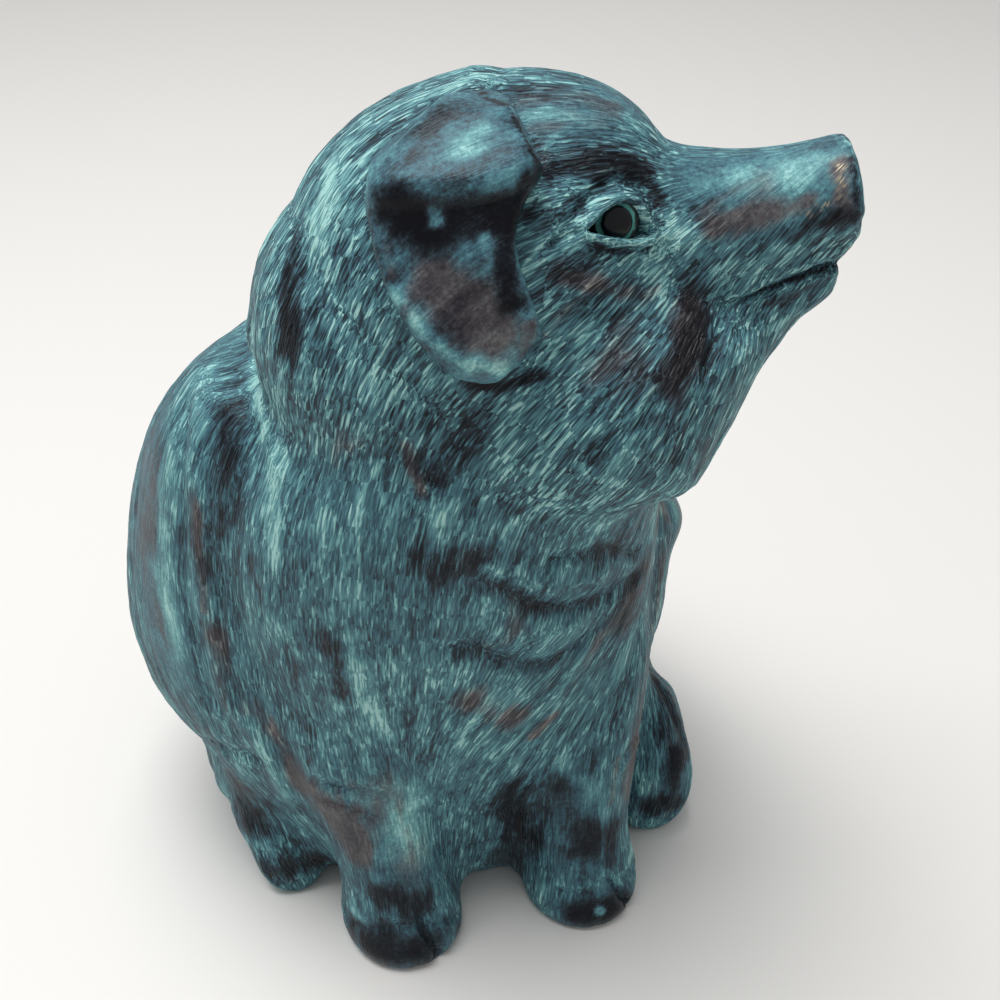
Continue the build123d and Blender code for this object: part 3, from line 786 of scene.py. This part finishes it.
# light holds lighter verdigris and also painted sheen on the tops; dark holds dark patina and also painted shade in
# creases, under the ear and between the legs.
light = smooth_step(0.15, 1.1, painted(LIGHT_AREAS, HIDDEN_LIGHT) + ragged - 0.04 * mottle)
dark = smooth_step(0.1, 1.2, painted(DARK_AREAS, HIDDEN_DARK) + ragged + 0.06 * mottle) * (1 - 0.7 * light)
brown = smooth_step(0.15, 1.0, painted(BROWN_AREAS, HIDDEN_BROWN) - ragged + 0.06 * mottle)
rubbed = painted(RUBBED_AREAS)
ear_share = relax(is_ear.astype(float)[:, None], 0.5 * everywhere, 6)[:, 0]
head_share = relax(on_head.astype(float)[:, None], 0.5 * everywhere, 60)[:, 0]
plain = np.clip(np.maximum(painted(PLAIN_AREAS), 0.95 * ear_share), 0, 1)
strokes_share = (1 - 0.88 * plain) * (1 + 0.45 * head_share)

# Locks of hair stand in low relief between the strokes, and the metal under them is never quite even.
LOCK_HEIGHT = 0.09
LOCK_WIDTH = 1.3
LOCK_LENGTH = 7
SWELL_HEIGHT = 0.06
locks = np.clip(combed(LOCK_WIDTH, LOCK_LENGTH, 11), -2, 2)
haired = (1 - plain) * smooth_step(1, 5, points[:, 2])
points += ((LOCK_HEIGHT * locks + SWELL_HEIGHT * np.clip(broad, -2, 2)) * haired)[:, None] * normals
normals = skin_normals()
hollow = np.sum((relax(points, 0.5 * everywhere, 14) - points) * normals, axis=1)
# The coverage carries painted shade and painted sheen as well as the patina's own tone.
cover_and_painted_light = 0.57 + 0.3 * light - 0.49 * dark + 0.03 * broad + 0.04 * locks * haired - 0.03 * mottle
cover_and_painted_light -= ear_share * (0.05 + 0.08 * combed(1.8, 3.6, 13))
cover_and_painted_light -= 0.25 * np.clip(hollow, -0.3, 0.6)
ATTRIBUTES = {
    "patina": np.stack((cover_and_painted_light, brown, rubbed), axis=1),
    "finish": np.stack((strokes_share, dark, plain), axis=1),
    "hair": flow,
}
for name, values in ATTRIBUTES.items():
    skin_mesh.attributes.new(name, "FLOAT_VECTOR", "POINT").data.foreach_set("vector", values.ravel())

# Patinated bronze: cast, chased, blackened, then brushed with copper salts that stay as verdigris along
# the chased hairs, and waxed. Handling rubs it back to grey-brown, and to bare metal on the snout.
VERDIGRIS_STEPS = {
    0.0: "#0c0d13", 0.2: "#181e25", 0.38: "#2c3b43", 0.55: "#406370", 0.72: "#56858d", 0.88: "#78adae", 1.0: "#a2cfcb",
}
BROWN_STEPS = {0.0: "#100f13", 0.25: "#262429", 0.5: "#464448", 0.75: "#6a696a", 1.0: "#979791"}
GOLD = "#a89a80"
FUR = {"clump": 3.5, "grain": 0.34, "stretch": 9}
MARKS = {"clump": 6.0, "grain": 0.5, "stretch": 10}
CLUMP_SHIFT = (0.1, 0.1, 0.1)


def linear(colour):
    """Linear red, green, blue and alpha of an sRGB hex colour."""
    shares = [int(colour[at:at + 2], 16) / 255 for at in (1, 3, 5)]
    return [share / 12.92 if share <= 0.04045 else ((share + 0.055) / 1.055) ** 2.4 for share in shares] + [1.0]


def node(tree, kind, settings=(), **inputs):
    """A new node with its settings; inputs name sockets, or number them as in_0, and take values or outputs."""
    made = tree.nodes.new(kind)
    for setting, value in dict(settings).items():
        setattr(made, setting, value)
    for name, value in inputs.items():
        socket = made.inputs[int(name[3:]) if name.startswith("in_") else name.replace("_", " ")]
        if isinstance(value, bpy.types.NodeSocket):
            tree.links.new(value, socket)
        else:
            socket.default_value = value
    return made


bronze = bpy.data.materials.new("patinated_bronze")
bronze.use_nodes = True
tree = bronze.node_tree
tree.nodes.clear()
# The coverage read here holds painted shade and painted sheen along with the patina.
patina_and_light_node = node(tree, "ShaderNodeAttribute", {"attribute_name": "patina"})
patina_and_light_parts = node(tree, "ShaderNodeSeparateXYZ", Vector=patina_and_light_node.outputs["Vector"])
finish_node = node(tree, "ShaderNodeAttribute", {"attribute_name": "finish"})
finish_parts = node(tree, "ShaderNodeSeparateXYZ", Vector=finish_node.outputs["Vector"])
hair_node = node(tree, "ShaderNodeAttribute", {"attribute_name": "hair"})
place_node = node(tree, "ShaderNodeTexCoord")
strokes = []
for hairs in (FUR, MARKS):
    clump = node(tree, "ShaderNodeTexVoronoi", Vector=place_node.outputs["Object"], Scale=1 / (hairs["clump"] * MM))
    local = node(
        tree, "ShaderNodeVectorMath", {"operation": "SUBTRACT"},
        in_0=place_node.outputs["Object"], in_1=clump.outputs["Position"],
    )
    along = node(
        tree, "ShaderNodeVectorMath", {"operation": "DOT_PRODUCT"},
        in_0=local.outputs[0], in_1=hair_node.outputs["Vector"],
    )
    drawn = node(
        tree, "ShaderNodeMath", {"operation": "MULTIPLY"},
        in_0=along.outputs["Value"], in_1=1 / hairs["stretch"] - 1,
    )
    pulled = node(
        tree, "ShaderNodeVectorMath", {"operation": "SCALE"},
        in_0=hair_node.outputs["Vector"], Scale=drawn.outputs[0],
    )
    squeezed = node(
        tree, "ShaderNodeVectorMath", {"operation": "ADD"},
        in_0=local.outputs[0], in_1=pulled.outputs[0],
    )
    placed = node(
        tree, "ShaderNodeVectorMath", {"operation": "MULTIPLY_ADD"},
        in_0=clump.outputs["Color"], in_1=CLUMP_SHIFT, in_2=squeezed.outputs[0],
    )
    stroke = node(
        tree, "ShaderNodeTexNoise",
        Vector=placed.outputs[0], Scale=1 / (hairs["grain"] * MM), Detail=1.0,
    )
    strokes.append(stroke.outputs[0])
fur = node(tree, "ShaderNodeMapRange", Value=strokes[0], From_Min=0.33, From_Max=0.67, To_Min=-1.0, To_Max=1.0)
marks = node(
    tree, "ShaderNodeMapRange", {"interpolation_type": "SMOOTHSTEP"},
    Value=strokes[1], From_Min=0.54, From_Max=0.64,
)
blotch = node(tree, "ShaderNodeTexNoise", Vector=place_node.outputs["Object"], Scale=1 / (7 * MM), Detail=5.0, Roughness=0.65)
fur_share = node(tree, "ShaderNodeMath", {"operation": "MULTIPLY"}, in_0=fur.outputs[0], in_1=finish_parts.outputs[0])
mark_share = node(tree, "ShaderNodeMath", {"operation": "MULTIPLY"}, in_0=marks.outputs[0], in_1=finish_parts.outputs[0])
mark_dim = node(tree, "ShaderNodeMapRange", Value=finish_parts.outputs[1], To_Min=0.24, To_Max=0.1)
cover = node(tree, "ShaderNodeMath", {"operation": "MULTIPLY_ADD"}, in_0=fur_share.outputs[0], in_1=0.14, in_2=patina_and_light_parts.outputs[0])
cover = node(tree, "ShaderNodeMath", {"operation": "MULTIPLY_ADD"}, in_0=mark_share.outputs[0], in_1=mark_dim.outputs[0], in_2=cover.outputs[0])
pores = node(tree, "ShaderNodeTexNoise", Vector=place_node.outputs["Object"], Scale=1 / (0.7 * MM), Detail=3.0, Roughness=0.7)
pitted = node(tree, "ShaderNodeMapRange", Value=pores.outputs[0], To_Min=-0.32, To_Max=0.32)
cover = node(tree, "ShaderNodeMath", {"operation": "MULTIPLY_ADD"}, in_0=pitted.outputs[0], in_1=finish_parts.outputs[2], in_2=cover.outputs[0])
uneven = node(tree, "ShaderNodeMath", {"operation": "SUBTRACT"}, in_0=blotch.outputs[0], in_1=0.5)
cover = node(tree, "ShaderNodeMath", {"operation": "MULTIPLY_ADD"}, in_0=uneven.outputs[0], in_1=0.27, in_2=cover.outputs[0])
ramps = []
for steps in (VERDIGRIS_STEPS, BROWN_STEPS):
    ramp = node(tree, "ShaderNodeValToRGB", in_0=cover.outputs[0])
    stops = ramp.color_ramp.elements
    stops[0].color = linear(steps[0.0])
    stops[1].color = linear(steps[1.0])
    for position in list(steps)[1:-1]:
        stops.new(position).color = linear(steps[position])
    ramps.append(ramp)
brown_share = node(tree, "ShaderNodeMath", {"operation": "MULTIPLY_ADD"}, in_0=uneven.outputs[0], in_1=0.9, in_2=patina_and_light_parts.outputs[1])
brown_mask = node(tree, "ShaderNodeMapRange", Value=brown_share.outputs[0], From_Min=0.1, From_Max=0.9)
coloured = node(
    tree, "ShaderNodeMix", {"data_type": "RGBA"},
    in_0=brown_mask.outputs[0], in_6=ramps[0].outputs[0], in_7=ramps[1].outputs[0],
)
worn_line = node(tree, "ShaderNodeMath", {"operation": "MULTIPLY_ADD"}, in_0=fur.outputs[0], in_1=0.6, in_2=0.55)
worn = node(tree, "ShaderNodeMath", {"operation": "MULTIPLY"}, in_0=worn_line.outputs[0], in_1=patina_and_light_parts.outputs[2])
worn_mask = node(tree, "ShaderNodeMapRange", {"interpolation_type": "SMOOTHSTEP"}, Value=worn.outputs[0], From_Min=0.3, From_Max=0.85, To_Max=0.8)
final_colour = node(tree, "ShaderNodeMix", {"data_type": "RGBA"}, in_0=worn_mask.outputs[0], in_6=coloured.outputs[2], in_7=linear(GOLD))
gloss = node(tree, "ShaderNodeMapRange", Value=cover.outputs[0], From_Min=0.1, From_Max=0.8, To_Min=0.3, To_Max=0.56)
waxed = node(tree, "ShaderNodeMath", {"operation": "MULTIPLY_ADD"}, in_0=finish_parts.outputs[2], in_1=-0.1, in_2=gloss.outputs[0])
bare_metal = node(tree, "ShaderNodeMath", {"operation": "MULTIPLY"}, in_0=worn_mask.outputs[0], in_1=0.6)
relief = node(tree, "ShaderNodeMath", {"operation": "MULTIPLY_ADD"}, in_0=mark_share.outputs[0], in_1=0.8, in_2=fur_share.outputs[0])
bump = node(tree, "ShaderNodeBump", Strength=0.6, Distance=0.12 * MM, Height=relief.outputs[0])
shader = node(
    tree, "ShaderNodeBsdfPrincipled", Base_Color=final_colour.outputs[2], Roughness=waxed.outputs[0],
    Metallic=bare_metal.outputs[0], Specular_IOR_Level=0.14, Normal=bump.outputs[0],
)
output = node(tree, "ShaderNodeOutputMaterial", Surface=shader.outputs[0])

# Parting: each face of the skin goes to the casting that it lies nearest, the parting lines are eased,
# and each casting is closed where it joins the next. The seat of the base plate is left open below.
LABEL_ROUNDS = 30
SEAT_HALF = np.array((31.5, 29.5))
SEAT_DEPTH = 4.1
JOINT_DEPTH = 1.2
box_low = np.array(cad_box[0]) / MM
box_high = np.array(cad_box[1]) / MM
points = np.clip(points, box_low, box_high)
polygon_count = len(skin_mesh.polygons)
corner_counts = np.empty(polygon_count, dtype=np.int32)
skin_mesh.polygons.foreach_get("loop_total", corner_counts)
corner_points = np.empty(len(skin_mesh.loops), dtype=np.int32)
skin_mesh.loops.foreach_get("vertex_index", corner_points)
corner_faces = np.repeat(np.arange(polygon_count), corner_counts)
shares = np.stack([(owner == number).astype(float) for number in range(len(CASTINGS))], axis=1)
shares = relax(shares, 0.5 * everywhere, LABEL_ROUNDS)
face_shares = np.stack([np.bincount(corner_faces, column[corner_points]) for column in shares.T], axis=1)
face_label = face_shares.argmax(axis=1).astype(np.int32)
centres = np.stack([np.bincount(corner_faces, column[corner_points]) for column in points.T], axis=1)
centres /= corner_counts[:, None]
seat = (centres[:, 2] < 2) & (np.sum(np.square(centres[:, :2] / SEAT_HALF), axis=1) < 1)
face_label[seat] = len(CASTINGS)
in_seat = np.zeros(len(points), dtype=bool)
in_seat[corner_points[seat[corner_faces]]] = True
out_of_seat = np.zeros(len(points), dtype=bool)
out_of_seat[corner_points[~seat[corner_faces]]] = True
rim = in_seat & out_of_seat
points[rim, :2] /= np.linalg.norm(points[rim, :2] / SEAT_HALF, axis=1)[:, None]
points[rim, 2] = 0
normals = skin_normals()
skin_mesh.attributes.new("skin_normal", "FLOAT_VECTOR", "POINT").data.foreach_set("vector", normals.ravel())
skin_mesh.attributes.new("skin_face", "INT", "FACE").data.foreach_set("value", np.ones(polygon_count, dtype=np.int32))
for name in CASTINGS + ("under",):
    skin_mesh.materials.append(bpy.data.materials.new("part_" + name))
skin_mesh.polygons.foreach_set("material_index", face_label)
bpy.context.view_layer.objects.active = skin_object
skin_object.select_set(True)
bpy.ops.object.mode_set(mode="EDIT")
bpy.ops.mesh.select_all(action="SELECT")
bpy.ops.mesh.separate(type="MATERIAL")
bpy.ops.object.mode_set(mode="OBJECT")
for piece in [thing for thing in scene.objects if thing.type == "MESH" and thing.data.attributes.get("skin_face")]:
    node_name = piece.data.materials[0].name[len("part_"):]
    if node_name == "under":
        bpy.data.objects.remove(piece)
        continue
    closed = bmesh.new()
    closed.from_mesh(piece.data)
    of_skin = closed.faces.layers.int["skin_face"]
    seat_rim = {
        vertex.index for vertex in closed.verts
        if vertex.co.z < 0.01 * MM and abs(np.linalg.norm(np.array(vertex.co[:2]) / MM / SEAT_HALF) - 1) < 0.001
    }
    facing = closed.verts.layers.float_vector["skin_normal"]
    openings = [link for link in closed.edges if link.is_boundary]
    at_seat = [link for link in openings if all(end.index in seat_rim for end in link.verts)]
    at_joint = [link for link in openings if link not in at_seat]
    for edges in (at_seat, at_joint):
        for part in bmesh.ops.extrude_edge_only(closed, edges=edges)["geom"]:
            if isinstance(part, bmesh.types.BMVert):
                part.co += (Vector((0, 0, SEAT_DEPTH)) if edges is at_seat else -JOINT_DEPTH * part[facing]) * MM
            elif isinstance(part, bmesh.types.BMFace):
                part[of_skin] = 0
    openings = [link for link in closed.edges if link.is_boundary]
    for cap in bmesh.ops.holes_fill(closed, edges=openings, sides=0)["faces"]:
        cap[of_skin] = 0
    bmesh.ops.recalc_face_normals(closed, faces=closed.faces)
    closed.to_mesh(piece.data)
    closed.free()
    mesh = piece.data
    mesh.materials.clear()
    mesh.materials.append(bronze)
    mesh.polygons.foreach_set("material_index", np.zeros(len(mesh.polygons), dtype=np.int32))
    mesh.polygons.foreach_set("use_smooth", np.ones(len(mesh.polygons), dtype=bool))
    facing = np.empty(len(mesh.vertices) * 3)
    mesh.attributes["skin_normal"].data.foreach_get("vector", facing)
    facing = facing.reshape(-1, 3)
    corner_facing = []
    for polygon in mesh.polygons:
        if mesh.attributes["skin_face"].data[polygon.index].value:
            corner_facing += [facing[number] for number in polygon.vertices]
        else:
            corner_facing += [polygon.normal] * len(polygon.vertices)
    mesh.normals_split_custom_set(corner_facing)
    piece.name = node_name + "_casting"
    mesh.name = piece.name
    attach(piece, "root")
    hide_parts(node_name)

# Eye beads: turned bronze balls pressed into the sockets from outside, blackened and polished, with a
# groove cut round the iris in which verdigris stays.
EYE_BLACK = "#0d0f13"
EYE_VERDIGRIS = "#4f918a"
IRIS_PIXEL = (619, 223)
IRIS_RADIUS = 2.5
GROOVE_WIDTH = 0.55
GROOVE_DEPTH = 0.3
eye_finish = bpy.data.materials.new("blackened_bronze")
eye_finish.use_nodes = True
tree = eye_finish.node_tree
tree.nodes.clear()
groove_node = node(tree, "ShaderNodeAttribute", {"attribute_name": "groove"})
place_node = node(tree, "ShaderNodeTexCoord")
grit = node(tree, "ShaderNodeTexNoise", Vector=place_node.outputs["Object"], Scale=1 / (0.9 * MM), Detail=3.0)
stained = node(tree, "ShaderNodeMath", {"operation": "MULTIPLY_ADD"}, in_0=grit.outputs[0], in_1=1.0, in_2=groove_node.outputs["Fac"])
stain = node(tree, "ShaderNodeMapRange", {"interpolation_type": "SMOOTHSTEP"}, Value=stained.outputs[0], From_Min=0.85, From_Max=1.35)
eye_colour = node(tree, "ShaderNodeMix", {"data_type": "RGBA"}, in_0=stain.outputs[0], in_6=linear(EYE_BLACK), in_7=linear(EYE_VERDIGRIS))
eye_gloss = node(tree, "ShaderNodeMapRange", Value=stain.outputs[0], To_Min=0.16, To_Max=0.55)
shader = node(tree, "ShaderNodeBsdfPrincipled", Base_Color=eye_colour.outputs[2], Roughness=eye_gloss.outputs[0], Specular_IOR_Level=0.25)
output = node(tree, "ShaderNodeOutputMaterial", Surface=shader.outputs[0])
right_low, right_high = (np.array(corner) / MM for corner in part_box("right_eye"))
right_centre = (right_low + right_high) / 2
eye_radius = (right_high[0] - right_low[0]) / 2
ray = np.array(photo_ray(*IRIS_PIXEL))
toward = right_centre - np.array(CAMERA_AT) / MM
nearest = np.array(CAMERA_AT) / MM + ray * (toward @ ray)
sag = max(eye_radius**2 - np.sum(np.square(nearest - right_centre)), 0.0)
right_gaze = (nearest - ray * math.sqrt(sag) - right_centre) / eye_radius
for name in ("right_eye", "left_eye"):
    low, high = (np.array(corner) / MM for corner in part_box(name))
    gaze = right_gaze if name == "right_eye" else right_gaze - 2 * (right_gaze @ head_right) * head_right
    bead = bmesh.new()
    bmesh.ops.create_uvsphere(bead, u_segments=48, v_segments=48, radius=eye_radius * MM)
    groove = bead.verts.layers.float.new("groove")
    for vertex in bead.verts:
        from_iris = math.hypot(vertex.co.x, vertex.co.y) / MM if vertex.co.z > 0 else 2 * IRIS_RADIUS
        vertex[groove] = float(bell(from_iris - IRIS_RADIUS, GROOVE_WIDTH))
        vertex.co *= 1 - vertex[groove] * GROOVE_DEPTH / eye_radius
    turn = Vector((0, 0, 1)).rotation_difference(Vector(gaze)).to_matrix()
    bmesh.ops.rotate(bead, verts=bead.verts, cent=(0, 0, 0), matrix=turn)
    bmesh.ops.translate(bead, verts=bead.verts, vec=Vector((low + high) / 2 * MM))
    for face in bead.faces:
        face.smooth = True
    bead_mesh = bpy.data.meshes.new(name + "_bead")
    bead.to_mesh(bead_mesh)
    bead.free()
    bead_mesh.materials.append(eye_finish)
    piece = bpy.data.objects.new(name + "_bead", bead_mesh)
    scene.collection.objects.link(piece)
    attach(piece, "root")
    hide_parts(name)

# Neck pins: bronze rods driven through the head's web into the neck, cut off under the chased skin and
# covered by it, so only their bare metal inside is left to finish.
BARE_BRONZE = "#b08a55"
PIN_CUT = 5
bare_bronze = bpy.data.materials.new("bare_bronze")
bare_bronze.use_nodes = True
tree = bare_bronze.node_tree
tree.nodes.clear()
place_node = node(tree, "ShaderNodeTexCoord")
grit = node(tree, "ShaderNodeTexNoise", Vector=place_node.outputs["Object"], Scale=1 / (1.2 * MM), Detail=4.0)
machined = node(tree, "ShaderNodeMapRange", Value=grit.outputs[0], To_Min=0.28, To_Max=0.46)
shader = node(tree, "ShaderNodeBsdfPrincipled", Base_Color=linear(BARE_BRONZE), Roughness=machined.outputs[0], Metallic=1.0)
output = node(tree, "ShaderNodeOutputMaterial", Surface=shader.outputs[0])
pins = bmesh.new()
pins.from_mesh(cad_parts["neck_pins"].data)
bmesh.ops.remove_doubles(pins, verts=pins.verts, dist=0.001 * MM)
for turn in np.unique(pin_turn):
    way = Vector((math.cos(math.radians(90 * turn)), math.sin(math.radians(90 * turn)), 0))
    away = [(vertex, (vertex.co - Vector((*NECK_AXIS, 0)) * MM).dot(way)) for vertex in pins.verts]
    farthest = max(distance for _, distance in away)
    outer = [vertex for vertex, distance in away if distance > 0.7 * farthest]
    bmesh.ops.translate(pins, verts=outer, vec=-PIN_CUT * MM * way)
for face in pins.faces:
    face.smooth = True
pins_mesh = bpy.data.meshes.new("neck_pin_set")
pins.to_mesh(pins_mesh)
pins.free()
pins_mesh.materials.append(bare_bronze)
piece = bpy.data.objects.new("neck_pin_set", pins_mesh)
scene.collection.objects.link(piece)
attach(piece, "root")
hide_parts("neck_pins")

# Base plate and its screws: a flat bronze plate that closes the torso from below, held by four
# countersunk steel screws. The felt hides both.
STEEL = "#a9abad"
screw_steel = bpy.data.materials.new("screw_steel")
screw_steel.use_nodes = True
tree = screw_steel.node_tree
tree.nodes.clear()
place_node = node(tree, "ShaderNodeTexCoord")
grit = node(tree, "ShaderNodeTexNoise", Vector=place_node.outputs["Object"], Scale=1 / (0.8 * MM), Detail=3.0)
plated = node(tree, "ShaderNodeMapRange", Value=grit.outputs[0], To_Min=0.25, To_Max=0.4)
shader = node(tree, "ShaderNodeBsdfPrincipled", Base_Color=linear(STEEL), Roughness=plated.outputs[0], Metallic=1.0)
output = node(tree, "ShaderNodeOutputMaterial", Surface=shader.outputs[0])
for name, finish in (("base_plate", bare_bronze), ("base_screws", screw_steel)):
    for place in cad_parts[name].material_slots:
        place.material = finish

# Felt pad: wool felt cut to the plate's outline and glued to it, so that the figurine doesn't scratch
# what it stands on. Its matted fibres scatter light and show no gloss.
FELT_DARK = "#1d2b25"
FELT_LIGHT = "#35493f"
felt = bpy.data.materials.new("wool_felt")
felt.use_nodes = True
tree = felt.node_tree
tree.nodes.clear()
place_node = node(tree, "ShaderNodeTexCoord")
fibre = node(tree, "ShaderNodeTexNoise", Vector=place_node.outputs["Object"], Scale=1 / (0.7 * MM), Detail=6.0, Roughness=0.7)
clump = node(tree, "ShaderNodeTexNoise", Vector=place_node.outputs["Object"], Scale=1 / (6 * MM), Detail=3.0)
matted = node(tree, "ShaderNodeMath", {"operation": "MULTIPLY"}, in_0=fibre.outputs[0], in_1=clump.outputs[0])
tone = node(tree, "ShaderNodeMapRange", Value=matted.outputs[0], From_Min=0.12, From_Max=0.4)
felt_colour = node(tree, "ShaderNodeMix", {"data_type": "RGBA"}, in_0=tone.outputs[0], in_6=linear(FELT_DARK), in_7=linear(FELT_LIGHT))
nap = node(tree, "ShaderNodeBump", Strength=0.6, Distance=0.2 * MM, Height=fibre.outputs[0])
shader = node(tree, "ShaderNodeBsdfPrincipled", Base_Color=felt_colour.outputs[2], Roughness=0.95, Sheen_Weight=0.25, Normal=nap.outputs[0])
output = node(tree, "ShaderNodeOutputMaterial", Surface=shader.outputs[0])
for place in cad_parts["felt_pad"].material_slots:
    place.material = felt

# Floor and light: a pale floor, an even white room and one large soft lamp overhead.
FLOOR_HALF = 3.0
FLOOR_PALE = "#e6e4e1"
floor_finish = bpy.data.materials.new("studio_floor")
floor_finish.use_nodes = True
tree = floor_finish.node_tree
tree.nodes.clear()
shader = node(tree, "ShaderNodeBsdfPrincipled", Base_Color=linear(FLOOR_PALE), Roughness=0.5)
output = node(tree, "ShaderNodeOutputMaterial", Surface=shader.outputs[0])
floor_mesh = bpy.data.meshes.new("floor")
floor_build = bmesh.new()
bmesh.ops.create_grid(floor_build, x_segments=1, y_segments=1, size=FLOOR_HALF)
floor_build.to_mesh(floor_mesh)
floor_build.free()
floor_mesh.materials.append(floor_finish)
floor = bpy.data.objects.new("floor", floor_mesh)
scene.collection.objects.link(floor)
world = bpy.data.worlds.new("studio")
scene.world = world
world.use_nodes = True
world.node_tree.nodes["Background"].inputs[0].default_value = (1, 1, 1, 1)
world.node_tree.nodes["Background"].inputs[1].default_value = 0.46
lamp_data = bpy.data.lights.new("softbox", "AREA")
lamp_data.energy = 6
lamp_data.size = 0.5
lamp = bpy.data.objects.new("softbox", lamp_data)
lamp.location = (-0.15, 0.05, 0.8)
lamp.rotation_euler = (Vector((0, 0, 0.07)) - lamp.location).to_track_quat("-Z", "Y").to_euler()
scene.collection.objects.link(lamp)
